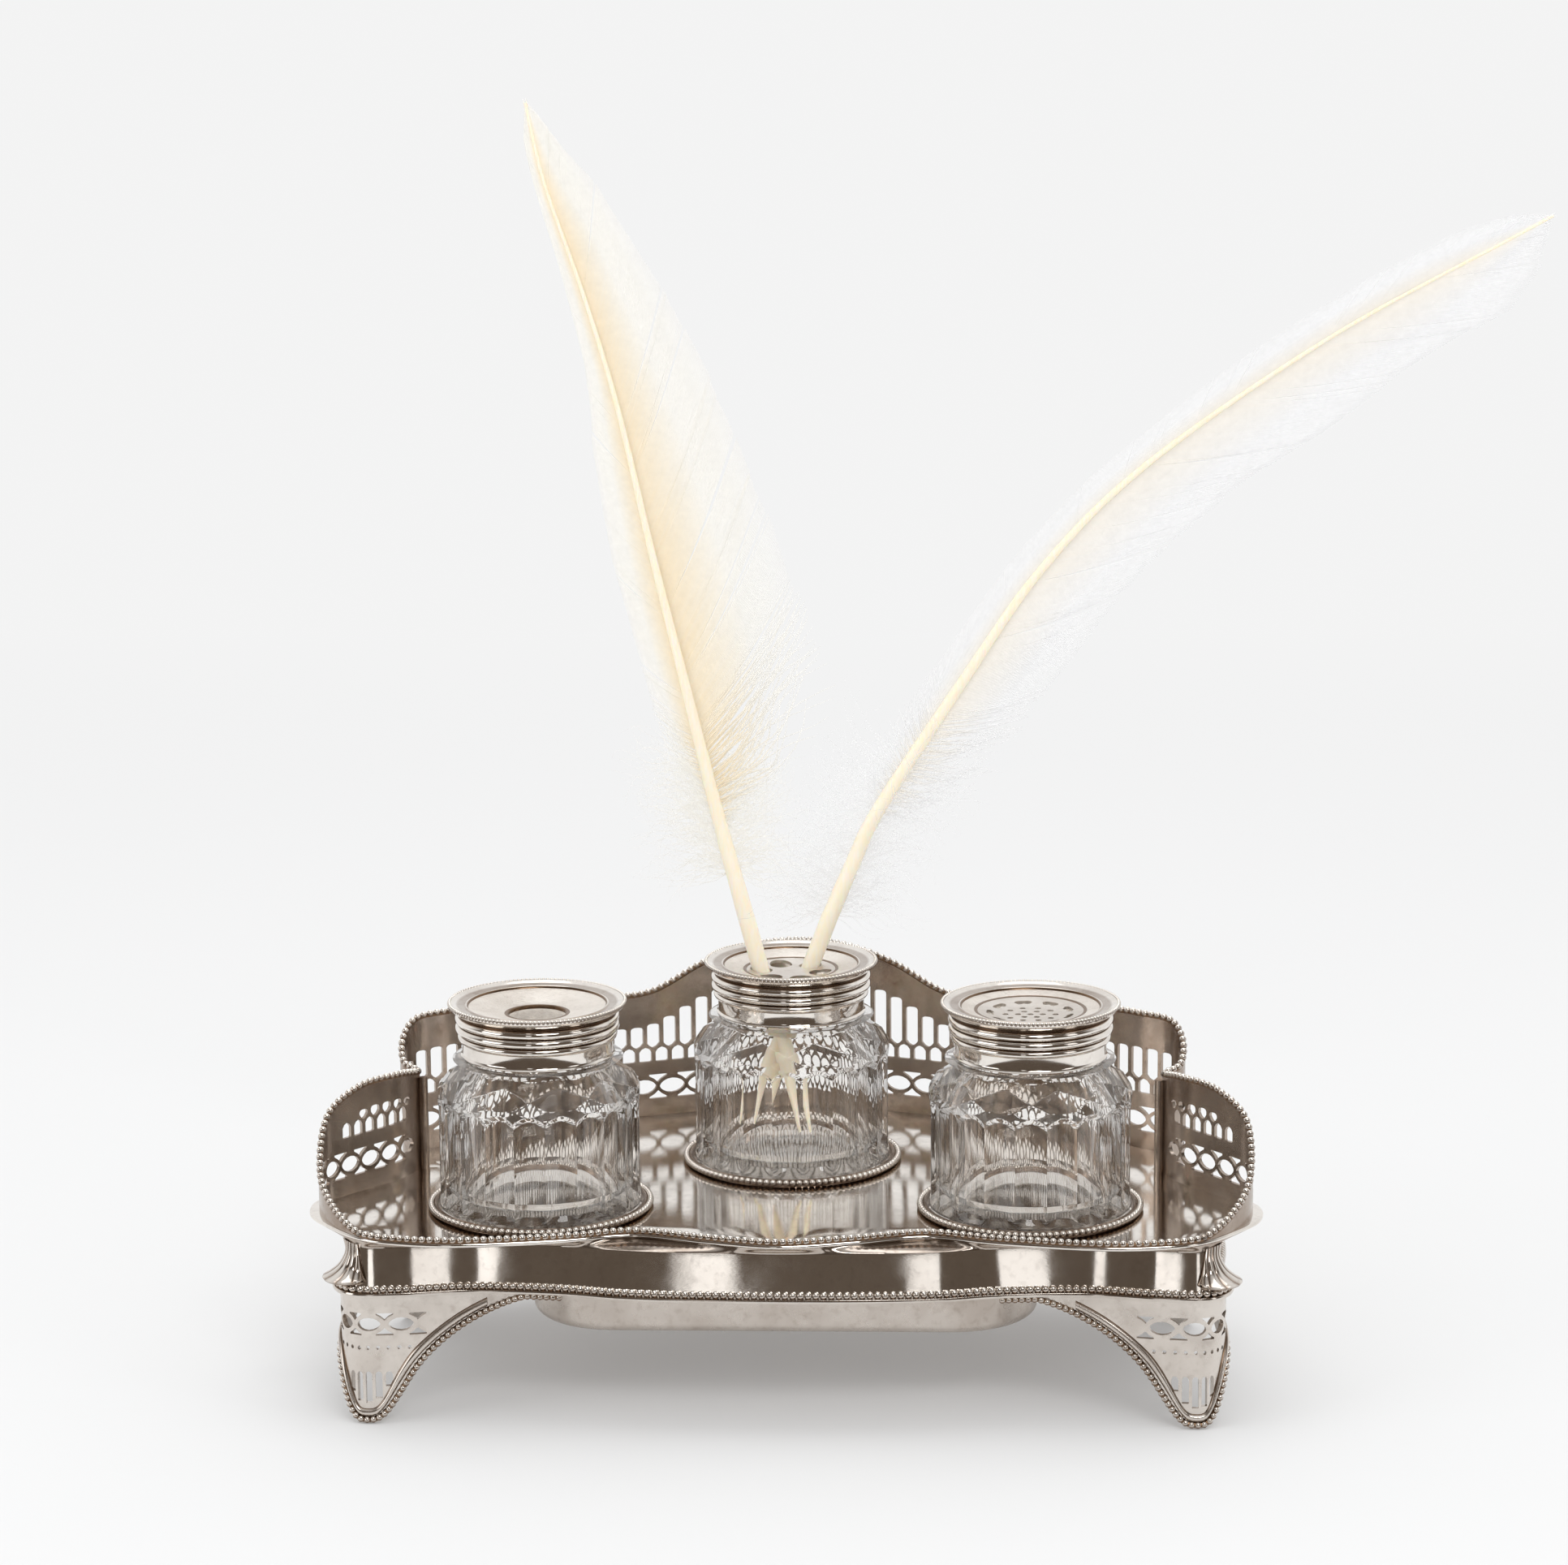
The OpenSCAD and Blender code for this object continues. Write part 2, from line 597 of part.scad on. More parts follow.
module foot_bead(c) {
    at = foot_places(c);
    n = len(at);
    line = [for (i = at)
        lift(foot_out[i], min(mould_low - foot_bead_r, foot_low(c, i) + foot_bead_r + 0.2))];
    loft([for (k = [0 : n - 1])
        let (m = ring_normal(base_edge, at[k]), side0 = [m[0], m[1], 0],
             t = unit(line[min(n - 1, k + 1)] - line[max(0, k - 1)]),
             side = unit(side0 - t * (t * side0)))
        wire_row(line[k] + side * (foot_bead_r - wire_sink), side, t, foot_bead_r, wire_m)]);
}
module foot_front_right() {
    color(silver) foot(front_corner);
}
module foot_front_left() {
    color(silver) mirror([1, 0, 0]) foot(front_corner);
}
module foot_rear_right() {
    color(silver) foot(rear_corner);
}
module foot_rear_left() {
    color(silver) mirror([1, 0, 0]) foot(rear_corner);
}
module foot_bead_front_right() {
    color(silver) foot_bead(front_corner);
}
module foot_bead_front_left() {
    color(silver) mirror([1, 0, 0]) foot_bead(front_corner);
}
module foot_bead_rear_right() {
    color(silver) foot_bead(rear_corner);
}
module foot_bead_rear_left() {
    color(silver) mirror([1, 0, 0]) foot_bead(rear_corner);
}

// Ridged leaves on the corners of the hollow band. A leaf has a section at each of its
// columns; u runs from -1 to 1 across it and f from 0 at the band's foot to 1 at its head
leaf_columns = 12;
leaf_foot = 0.95;
leaf_head = 0.35;
leaf_t = 0.9;
leaf_tip_f = 0.2;
function mix_at(a, b, g) = (1 - g) * a + g * b;
function leaf_place(c, u, f, in) =
    let (x = c + u * mix_at(leaf_foot, leaf_head, f) * steps, i = floor(x))
    mix_at(cove_point(i, f, in), cove_point(i + 1, f, in), x - i);
function leaf_way(c, u) =
    let (x = c + u * leaf_foot * steps, i = floor(x),
         n = mix_at(ring_normal(base_edge, i), ring_normal(base_edge, i + 1), x - i))
    [n[0], n[1], 0] / norm(n);
module leaf(c) {
    loft([for (j = [0 : leaf_columns])
        let (u = 2 * j / leaf_columns - 1, swell = 1 - u * u, ridge = (j % 2) * leaf_ridge,
             n = leaf_way(c, u), tip = leaf_place(c, u, leaf_tip_f, 0) + n * leaf_reach * swell)
        [tip + n * leaf_t / 3 + [0, 0, leaf_t], tip,
         leaf_place(c, u, 0.32, wire_sink), leaf_place(c, u, 0.6, wire_sink),
         leaf_place(c, u, 0.9, wire_sink), leaf_place(c, u, 0.92, 0) + n * leaf_t / 2,
         leaf_place(c, u, 0.7, 0) + n * (leaf_t * (1 + swell / 2) + ridge),
         leaf_place(c, u, 0.45, 0) + n * (leaf_t * (1 + 1.8 * swell) + ridge)]]);
}
leaf_front = front_corner + 0.5 * steps;
leaf_rear = rear_corner - 0.4 * steps;
module leaf_front_right() {
    color(silver) leaf(leaf_front);
}
module leaf_front_left() {
    color(silver) mirror([1, 0, 0]) leaf(leaf_front);
}
module leaf_rear_right() {
    color(silver) leaf(leaf_rear);
}
module leaf_rear_left() {
    color(silver) mirror([1, 0, 0]) leaf(leaf_rear);
}

// A ring that holds a bottle on the plate
module bottle_ring() {
    r = body_r + ring_gap;
    wire = r + ring_t + ring_flare;
    color(silver) rotate_extrude($fn = 96) union() {
        polygon([[r, 0], [r + ring_t, 0], [r + ring_t - 0.2, 0.8], [wire, ring_h],
            [r + 0.5, ring_h + 0.5], [r, ring_h - 0.4]]);
        translate([wire, ring_h]) circle(ring_bead_r, $fn = 24);
    }
}
module ink_ring() {
    translate(ink_at) bottle_ring();
}
module quill_ring() {
    translate(quill_at) bottle_ring();
}
module pounce_ring() {
    translate(pounce_at) bottle_ring();
}

// A cut glass bottle: a hollow turned form with flutes and a row of facets
facet_tool = [20, 40, 60];
facet_tilt = 42;
heel = 1.6;
well_round = 3;
throat_slope = 6;
flute_end = 3;
module facets(count, tilt, r, z) {
    for (k = [0 : count - 1]) rotate(360 * k / count) translate([r, 0, z])
        rotate([0, -tilt, 0]) translate([0, -facet_tool[1] / 2, -facet_tool[2] / 2]) cube(facet_tool);
}
module bottle() {
    arc = [for (a = [0 : 15 : 75]) [body_r - (body_r - neck_r - 1) * (1 - cos(a)),
        shoulder_z + (shoulder_h - 0.6) * sin(a)]];
    color(glass) difference() {
        rotate_extrude($fn = 120) polygon(concat(
            [[0, seat_gap], [body_r - heel, seat_gap], [body_r, seat_gap + heel]], arc,
            [[neck_r, neck_z - 0.3], [neck_r, lip_z], [throat_r, lip_z],
             [throat_r, shoulder_z + throat_slope], [well_r, shoulder_z - throat_slope],
             [well_r, well_z + well_round], [well_r - well_round, well_z], [0, well_z]]));
        for (k = [0 : flute_n - 1]) rotate(360 * (k + 0.5) / flute_n)
            translate([body_r + flute_r - flute_d, 0, seat_gap + flute_end])
                cylinder(body_h - 2 * flute_end, r = flute_r, $fn = 48);
        intersection() {
            facets(facet_n, facet_tilt, body_r - 0.1, shoulder_z - 2);
            translate([0, 0, shoulder_z - 8]) cylinder(shoulder_h + 7.2, r = body_r + 4, $fn = 60);
        }
    }
}
module ink_bottle() {
    translate(ink_at) bottle();
}
module quill_pot() {
    translate(quill_at) bottle();
}
module pounce_bottle() {
    translate(pounce_at) bottle();
}

// The collar: a plain band on the neck and a thin sleeve for the cap
module collar() {
    color(silver) rotate_extrude($fn = 96) polygon([
        [neck_r, band_z], [sleeve_r + 0.1, band_z], [sleeve_r + 0.4, band_z + 0.5],
        [sleeve_r, band_z + 1.2], [sleeve_r + 0.1, cap_z - 2.4], [collar_r, cap_z - 1],
        [collar_r, cap_z], [sleeve_r, cap_z], [sleeve_r, lip_z], [neck_r, lip_z]]);
}
module ink_collar() {
    translate(ink_at) collar();
}
module quill_collar() {
    translate(quill_at) collar();
}
module pounce_collar() {
    translate(pounce_at) collar();
}

// A dished cap with a reeded skirt and a wire round its rim
module cap_shell(hole) {
    wire = cap_r - cap_bead_r;
    color(silver) rotate_extrude($fn = 96) union() {
        polygon([
            [skirt_r, cap_z], [collar_r, cap_z], [collar_r, cap_z + 5.1],
            [collar_r + 1.3, cap_z + 6.8], [cap_r - 0.4, top_z - 1.7], [cap_r - 0.3, top_z - 0.9],
            [cap_r - 1.4, top_z - 0.5], [cap_r - 2.6, top_z - 1.1], [dish_r, dish_at(dish_r)],
            [dish_in, dish_at(dish_in)], [hole, dish_at(dish_in)], [hole, dish_z],
            [dish_in, dish_z], [dish_r, dish_at(dish_r) - cap_t],
            [skirt_r, dish_at(dish_r) - 0.6 * cap_t]]);
        for (z = [0.9, 2.6, 4.3]) translate([collar_r - 0.1, cap_z + z]) circle(0.7, $fn = 24);
        translate([wire, top_z - cap_bead_r]) circle(cap_bead_r, $fn = 24);
    }
}
module ink_cap() {
    translate(ink_at) cap_shell(ink_hole_r);
}
// The middle of one of the six quill holes, from the pot's axis
hole_turn = 8;
drill_l = 6;
function hole_at(k) = [quill_ring_r * cos(60 * k - hole_turn),
    quill_ring_r * sin(60 * k - hole_turn), dish_at(quill_ring_r) - cap_t / 2];
module quill_cap() {
    translate(quill_at) difference() {
        cap_shell(0);
        for (k = [0 : 5]) translate(hole_at(k)) translate([0, 0, -drill_l / 2])
            cylinder(drill_l, r = quill_hole_r, $fn = 48);
    }
}
// Rings of small holes: how many in each and how far out, and leaf-shaped openings round them
pounce_rings = [[1, 0], [6, 3.6], [10, 7.2]];
petal_n = 9;
petal_r = 11.6;
petal_l = 2.7;
petal_w = 1.1;
module pounce_cap() {
    translate(pounce_at) difference() {
        cap_shell(0);
        translate([0, 0, dish_z - 2]) union() {
            for (ring = pounce_rings) for (k = [0 : ring[0] - 1])
                rotate(360 * k / ring[0]) translate([ring[1], 0, 0])
                    cylinder(drill_l, r = pounce_hole_r, $fn = 24);
            for (k = [0 : petal_n - 1]) rotate(360 * (k + 0.5) / petal_n)
                translate([petal_r, 0, 0]) linear_extrude(drill_l) polygon([
                    [0, -petal_l], [petal_w, -0.5 * petal_l], [petal_w, 0.5 * petal_l],
                    [0, petal_l], [-petal_w, 0.4 * petal_l], [-petal_w / 2, 0],
                    [-petal_w, -0.4 * petal_l]]);
        }
    }
}

// Quills: a straight barrel through a hole of the cap, then a bent shaft
hole_left = quill_at + hole_at(3);
hole_right = quill_at + hole_at(1);
nib_left = quill_at + [4.5, -5.5, well_z + nib_gap];
nib_right = quill_at + [-13, 3.5, well_z + nib_gap];
way_left = unit(hole_left - nib_left);
way_right = unit(hole_right - nib_right);
barrel_l = 68;
// The block that cuts a nib's slanting face
nib_tool = [20, 20, 16];
nib_tilt = 20;
bend_left = nib_left + barrel_l * way_left;
bend_right = nib_right + barrel_l * way_right;
// The bent shafts, from the end of the barrel, sideways, back and up
left_bend = [
    [0, 0, 0], [-8, 2, 30], [-17, 2.5, 68], [-26.5, 3, 108], [-36.5, 3.5, 153],
    [-46, 4, 186], [-57, 4, 219], [-62, 4, 242]
];
right_bend = [
    [0, 0, 0], [6.5, 1, 15], [15, 1.5, 33], [39, 2, 70], [64, 2.5, 106], [95, 3, 137],
    [148, 3, 174], [201, 4, 203], [212, 4, 209]
];
// Where along the bent shaft, and the vane's reach to the shaft's left and right there
left_vane = [
    [0, 0.5, 0.5], [0.1, 0.5, 0.5], [0.16, 5, 14], [0.21, 8.5, 30], [0.26, 11, 39],
    [0.45, 12, 36.5], [0.59, 10, 32], [0.69, 6, 25], [0.79, 4.5, 19], [0.9, 3, 13],
    [0.96, 2.5, 7], [1, 0.5, 0.5]
];
right_vane = [
    [0, 0.5, 0.5], [0.1, 0.5, 0.5], [0.15, 8, 14], [0.2, 10, 19], [0.37, 8.5, 24],
    [0.55, 7.5, 26], [0.7, 9, 24], [0.8, 9, 21], [0.92, 9, 20], [0.97, 6, 11], [1, 0.5, 0.5]
];
shaft_m = 8;
// How fast a shaft thins: 1 is even, more is quicker near the barrel
shaft_taper = 1.8;
module shaft(nib, way, bend, points) {
    line = open_curve([for (p = points) bend + p], 4);
    n = len(line);
    turn = [acos(way[2]), atan2(way[1], way[0])];
    color(feather) union() {
        difference() {
            translate(nib) rotate([0, turn[0], turn[1]]) cylinder(barrel_l + 0.4, r = barrel_r, $fn = 32);
            translate(nib) rotate([0, turn[0], turn[1]]) rotate([0, nib_tilt, 0])
                translate([barrel_r * 0.45, -nib_tool[1] / 2, -2]) cube(nib_tool);
        }
        loft([for (k = [0 : n - 1])
            let (t = k == 0 ? way : unit(line[min(n - 1, k + 1)] - line[k - 1]),
                 side = unit(cross([0, 1, 0], t)),
                 r = tip_r + (barrel_r - 0.02 - tip_r) * pow(1 - k / (n - 1), shaft_taper))
            wire_row(line[k], side, t, r, shaft_m)]);
    }
}
function width_at(v, f, i = 1) =
    i >= len(v) - 1 || v[i][0] >= f
        ? let (g = (f - v[i - 1][0]) / (v[i][0] - v[i - 1][0])) v[i - 1] + g * (v[i] - v[i - 1])
        : width_at(v, f, i + 1);
module vane(bend, points, widths) {
    line = open_curve([for (p = points) bend + p], 4);
    n = len(line);
    color(feather) loft([for (k = [3 : n - 1])
        let (t = unit(line[min(n - 1, k + 1)] - line[k - 1]),
             side = unit(cross([0, 1, 0], t)), back = cross(t, side),
             w = width_at(widths, k / (n - 1)), h = back * vane_t / 2, p = line[k])
        [p - side * w[1] + h, p + h, p + side * w[2] + h, p + side * w[2] - h, p - h,
         p - side * w[1] - h]]);
}
module quill_left_shaft() {
    shaft(nib_left, way_left, bend_left, left_bend);
}
module quill_right_shaft() {
    shaft(nib_right, way_right, bend_right, right_bend);
}
module quill_left_vane() {
    vane(bend_left, left_bend, left_vane);
}
module quill_right_vane() {
    vane(bend_right, right_bend, right_vane);
}

top_plate();
cove_band();
base_moulding();
under_pan();
front_bead();
base_bead();
gallery_left();
gallery_right();
gallery_back();
border_left();
border_right();
border_back();
post_left();
post_right();
foot_front_left();
foot_front_right();
foot_rear_left();
foot_rear_right();
foot_bead_front_left();
foot_bead_front_right();
foot_bead_rear_left();
foot_bead_rear_right();
leaf_front_left();
leaf_front_right();
leaf_rear_left();
leaf_rear_right();
ink_ring();
quill_ring();
pounce_ring();
ink_bottle();
quill_pot();
pounce_bottle();
ink_collar();
quill_collar();
pounce_collar();
ink_cap();
quill_cap();
pounce_cap();
quill_left_shaft();
quill_left_vane();
quill_right_shaft();
quill_right_vane();
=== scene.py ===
"""A silver desk inkstand: a shaped tray on bracket feet with a pierced gallery and beaded
edges, three cut glass bottles with silver collars and caps, and two quills.

Every surface is worked out as arrays: a profile carried along the tray's edge, a turned
profile, or a flat pattern of openings that is laid on a wall.
"""

import math

import bmesh
import bpy
import numpy as np
from mathutils import Matrix, Vector
from mathutils.geometry import delaunay_2d_cdt


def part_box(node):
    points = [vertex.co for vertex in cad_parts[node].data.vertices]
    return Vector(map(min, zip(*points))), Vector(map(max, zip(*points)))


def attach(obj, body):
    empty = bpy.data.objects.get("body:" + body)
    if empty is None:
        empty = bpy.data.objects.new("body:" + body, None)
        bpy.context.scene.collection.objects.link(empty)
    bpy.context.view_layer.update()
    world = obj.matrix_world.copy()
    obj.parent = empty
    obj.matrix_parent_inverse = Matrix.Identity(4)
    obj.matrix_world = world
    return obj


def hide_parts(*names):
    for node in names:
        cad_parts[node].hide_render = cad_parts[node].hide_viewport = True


bl_info = {
    "name": "Silver desk inkstand",
    "version": (1, 0, 0),
    "blender": (4, 5, 0),
    "location": "View3D > Sidebar > Inkstand",
    "description": "Dresses a desk inkstand with silver, cut glass and feathers",
    "category": "Add Mesh",
}

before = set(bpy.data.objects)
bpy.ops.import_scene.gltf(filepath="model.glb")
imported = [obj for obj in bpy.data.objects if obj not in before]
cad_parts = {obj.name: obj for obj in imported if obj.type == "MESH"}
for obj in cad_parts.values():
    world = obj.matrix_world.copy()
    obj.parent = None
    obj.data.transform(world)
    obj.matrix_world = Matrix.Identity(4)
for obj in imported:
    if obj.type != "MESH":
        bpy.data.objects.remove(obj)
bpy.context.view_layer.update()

MM = 0.001
# Top of the tray's plate is z 0; the moulding and the feet hang below it
MOULD_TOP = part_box("base_moulding")[1][2]
MOULD_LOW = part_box("base_moulding")[0][2]
FLOOR_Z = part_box("foot_front_left")[0][2]
# Millimetres from the tray's middle to the line through the side bottles, where y is 0
PLAN_Y = 36.5
# Points of a curve for each of its given points
STEPS = 16

# Half of the plate's edge in millimetres: x, y, height of the beaded edge, lip past the wall
PLATE_FRONT = [
    (0, -75.5, 0, 0), (21, -71, 0, 0), (42, -65, 0, 0), (62, -70.5, 0, 0),
    (92, -75.5, 0, 0), (111, -73.5, 0, 0), (121, -69, 0, 0), (130.5, -58.5, 4.41, 0.5),
    (138, -46.5, 11.97, 2.4), (138, -33, 23.94, 2.8), (128.5, -21.5, 30.87, 1.6),
    (118, -10.5, 31.5, 0.4), (112.5, 1, 29.3, 0),
]
PLATE_BACK = [
    (112.5, 1, 29.46, 0), (117.5, 7, 30.71, 0), (118.5, 14, 36.1, 0), (115, 21, 40.67, 0),
    (106, 27, 41.5, 0), (95, 36, 41.08, 0), (83, 46, 40.25, 0), (66, 54, 39, 0),
    (47, 61, 39, 0), (30, 67.5, 47.04, 0), (15, 72.5, 51.46, 0), (0, 75.5, 52.4, 0),
]
# Half of the moulding's edge, point for point beside the plate's
BASE_FRONT = [
    (0, -78.5), (24, -78), (46, -76), (64, -72), (88, -70.5), (108, -74), (123, -74),
    (129.5, -64), (127, -50), (128.5, -36), (129, -22), (126, -9), (120.5, 2),
]
BASE_BACK = [
    (120.5, 2), (121, 8), (123, 16), (120, 25), (110, 32), (98.5, 41), (85.5, 51),
    (68, 58.5), (48.5, 65.5), (31, 72), (15.5, 77), (0, 80),
]


class PlanSizes(bpy.types.PropertyGroup):
    """Sizes of the tray's sheet metal and beads."""

    bead_radius: bpy.props.FloatProperty(
        name="Bead radius", description="Radius of a bead on the tray's edges",
        default=1.12 * MM, unit="LENGTH")
    foot_bead_radius: bpy.props.FloatProperty(
        name="Foot bead radius", description="Radius of a bead on the feet",
        default=0.95 * MM, unit="LENGTH")
    cove_bow: bpy.props.FloatProperty(
        name="Band's curve", description="How far the hollow band curves in",
        default=0.4 * MM, unit="LENGTH")
    slot_pitch: bpy.props.FloatProperty(
        name="Slot spacing", description="Spacing of the upright slots along the back",
        default=5.3 * MM, unit="LENGTH")
    side_pitch: bpy.props.FloatProperty(
        name="Side slot spacing", description="Spacing of the upright slots on the side walls",
        default=4.6 * MM, unit="LENGTH")
    slot_bar: bpy.props.FloatProperty(
        name="Slot bar", description="Width of the metal between two slots",
        default=1.3 * MM, unit="LENGTH")
    border: bpy.props.FloatProperty(
        name="Plain border", description="Width of the plain metal along the back's edge",
        default=9.8 * MM, unit="LENGTH")
    side_border: bpy.props.FloatProperty(
        name="Side border", description="Width of the plain metal along the side walls' edge",
        default=6.6 * MM, unit="LENGTH")


class SilverLook(bpy.types.PropertyGroup):
    """Colours and polish of the silver."""

    colour: bpy.props.FloatVectorProperty(
        name="Silver", description="Colour of clean silver", subtype="COLOR",
        default=(0.90, 0.855, 0.80), size=3)
    tarnish: bpy.props.FloatVectorProperty(
        name="Tarnish", description="Colour of silver that has dulled", subtype="COLOR",
        default=(0.20, 0.125, 0.075), size=3)
    roughness: bpy.props.FloatProperty(
        name="Roughness", description="Roughness of the polished silver",
        default=0.07, min=0.02, max=0.6)


class GlassLook(bpy.types.PropertyGroup):
    """Colour and refraction of the cut glass."""

    colour: bpy.props.FloatVectorProperty(
        name="Glass", description="Tint of the cut glass", subtype="COLOR",
        default=(0.99, 0.985, 0.978), size=3)
    ior: bpy.props.FloatProperty(
        name="Refraction", description="How strongly the glass bends light",
        default=1.2, min=1.05, max=1.8)


class QuillLook(bpy.types.PropertyGroup):
    """Colours of the two feathers and how many barbs they have."""

    ivory: bpy.props.FloatVectorProperty(
        name="Ivory vane", description="Colour of the left feather", subtype="COLOR",
        default=(0.985, 0.97, 0.93), size=3)
    grey: bpy.props.FloatVectorProperty(
        name="Grey vane", description="Colour of the right feather", subtype="COLOR",
        default=(0.97, 0.97, 0.975), size=3)
    pale: bpy.props.FloatVectorProperty(
        name="Pale middle", description="Colour beside the right feather's shaft",
        subtype="COLOR", default=(0.97, 0.93, 0.86), size=3)
    horn: bpy.props.FloatVectorProperty(
        name="Horn", description="Colour of the shafts", subtype="COLOR",
        default=(0.98, 0.87, 0.66), size=3)
    barbs: bpy.props.IntProperty(
        name="Barbs", description="Number of barbs on one side of a feather",
        default=620, min=100, max=900)


class StageLook(bpy.types.PropertyGroup):
    """Floor, lamps and camera."""

    floor: bpy.props.FloatVectorProperty(
        name="Floor", description="Colour of the floor", subtype="COLOR",
        default=(0.80, 0.80, 0.80), size=3)
    key_power: bpy.props.FloatProperty(
        name="Key lamp", description="Power of the main lamp", default=5.3, unit="POWER")
    lens: bpy.props.FloatProperty(
        name="Lens", description="Focal length in millimetres", default=104.63)


# Curves on the plan


def unit(vectors):
    """Vectors brought to length 1."""
    return vectors / np.linalg.norm(vectors, axis=-1, keepdims=True)


def closed(line):
    """A closed line's points with the first one again at the end."""
    return np.vstack([line, line[:1]])


def smooth_run(points, steps):
    """Catmull-Rom curve through every point, with straight continuations past both ends."""
    p = np.asarray(points, float)
    p = np.vstack([2 * p[0] - p[1], p, 2 * p[-1] - p[-2]])
    return np.vstack([smooth_pieces(p, steps), p[-2]])


def smooth_ring(points, steps):
    """Closed Catmull-Rom curve through every point."""
    p = np.asarray(points, float)
    return smooth_pieces(np.vstack([p[-1], p, p[0], p[1]]), steps)


def smooth_pieces(p, steps):
    """The cubic between the middle two of every four neighbouring points, at even steps."""
    t = np.arange(steps)[None, :, None] / steps
    a, b, c, d = (p[i:len(p) - 3 + i][:, None, :] for i in range(4))
    run = 0.5 * (2 * b + (c - a) * t + (2 * a - 5 * b + 4 * c - d) * t ** 2
                 + (3 * b - a - 3 * c + d) * t ** 3)
    return run.reshape(-1, p.shape[1])


def mirrored(points):
    """The same points on the tray's left half, in the opposite order."""
    p = np.asarray(points, float)[::-1].copy()
    p[:, 0] *= -1
    return p


def outward(ring):
    """Unit normals of a closed anticlockwise curve: its tangent turned a quarter to the right."""
    t = unit(np.roll(ring[:, :2], -1, 0) - np.roll(ring[:, :2], 1, 0))
    return np.stack([t[:, 1], -t[:, 0]], 1)


def plan_scale(points):
    """Points in millimetres brought to metres, measured from the side bottles' line."""
    p = np.array([list(q) + [0] * (4 - len(q)) for q in points], float)
    p[:, 1] += PLAN_Y
    return p * MM


FRONT_HALF, BACK_HALF = plan_scale(PLATE_FRONT), plan_scale(PLATE_BACK)
FRONT_RUN = smooth_run(np.vstack([mirrored(FRONT_HALF)[:-1], FRONT_HALF]), STEPS)
BACK_RUN = smooth_run(np.vstack([BACK_HALF, mirrored(BACK_HALF)[1:]]), STEPS)
EDGE = np.vstack([FRONT_RUN, BACK_RUN[1:-1]])
EDGE_N = outward(EDGE)
# The edge starts at the left cusp. Place of the right one, and points of a side wall
CUSP = len(FRONT_RUN) - 1
CLIMB = 6 * STEPS
BASE_HALF, BASE_REST = plan_scale(BASE_FRONT), plan_scale(BASE_BACK)
BASE = smooth_ring(np.vstack([
    mirrored(BASE_HALF)[:-1], BASE_HALF, BASE_REST[1:], mirrored(BASE_REST)[1:-1]]), STEPS)
BASE_N = outward(BASE)
# The gallery's sheet, and the line of its middle inside the plate's edge
WALL_T = 1.1 * MM
WALL_IN = 0.3 * MM + WALL_T / 2
WALL_MID = EDGE[:, :2] - EDGE_N * (WALL_IN + np.maximum(0, EDGE[:, 3]))[:, None]


def with_z(flat, z):
    """Plan points lifted to a height."""
    return np.column_stack([flat[:, :2], np.broadcast_to(z, len(flat))])


def stretch(line, start, end):
    """The part of a closed line from one index to another, going on past its end."""
    return line[np.arange(start, end + 1) % len(line)]


def lengths(line):
    """Length along a line at each of its points."""
    return np.r_[0, np.cumsum(np.linalg.norm(np.diff(line, axis=0), axis=1))]


def between(s, along, line):
    """A line's columns at places s, straight between its own points, which lie at along."""
    return np.stack([np.interp(s, along, line[:, k]) for k in range(line.shape[1])], -1)


def at_length(line, s):
    """Points on a line at given lengths along it."""
    return between(s, lengths(line), line)


# Meshes


def grid_faces(rows, cols, close_rows=False, close_cols=False):
    """Four-sided faces between neighbouring rows and columns of a grid of points."""
    i = np.arange(rows if close_rows else rows - 1)[:, None]
    j = np.arange(cols if close_cols else cols - 1)[None, :]
    a = i * cols + j
    b = (i + 1) % rows * cols + j
    c = (i + 1) % rows * cols + (j + 1) % cols
    d = i * cols + (j + 1) % cols
    return np.stack([a, b, c, d], -1).reshape(-1, 4)


def add_piece(name, verts, faces, material, body, replaces=(), slot="silver", sharp=35.0,
              weld=False, outside=False, values=None):
    """Puts arrays into a mesh and lets it ride on a body. Values are numbers for each point."""
    mesh = bpy.data.meshes.new(name)
    groups = faces if isinstance(faces, list) else [faces]
    corners = np.concatenate([g.ravel() for g in groups]).astype(np.int32)
    mesh.vertices.add(len(verts))
    mesh.vertices.foreach_set("co", np.asarray(verts, np.float32).ravel())
    mesh.loops.add(len(corners))
    mesh.loops.foreach_set("vertex_index", corners)
    sizes = np.concatenate([np.full(len(g), g.shape[1]) for g in groups])
    mesh.polygons.add(len(sizes))
    mesh.polygons.foreach_set("loop_start", np.r_[0, np.cumsum(sizes)[:-1]].astype(np.int32))
    mesh.update(calc_edges=True)
    for key, value in (values or {}).items():
        field = mesh.attributes.new(key, "FLOAT", "POINT")
        field.data.foreach_set("value", np.asarray(value, np.float32))
    mesh.validate()
    if weld or outside:
        tidy_mesh(mesh, weld, outside)
    mesh.shade_smooth()
    if sharp:
        mesh.set_sharp_from_angle(angle=math.radians(sharp))
    piece = bpy.data.objects.new(name, mesh)
    bpy.context.scene.collection.objects.link(piece)
    mesh.materials.append(material)
    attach(piece, body)
    for node in replaces:
        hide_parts(node)
    return piece


def tidy_mesh(mesh, weld, outside):
    """Joins points that lie on each other, turns the faces outwards, or both."""
    work = bmesh.new()
    work.from_mesh(mesh)
    if weld:
        bmesh.ops.remove_doubles(work, verts=work.verts, dist=0.002 * MM)
    if outside:
        bmesh.ops.recalc_face_normals(work, faces=work.faces)
    work.to_mesh(mesh)
    work.free()


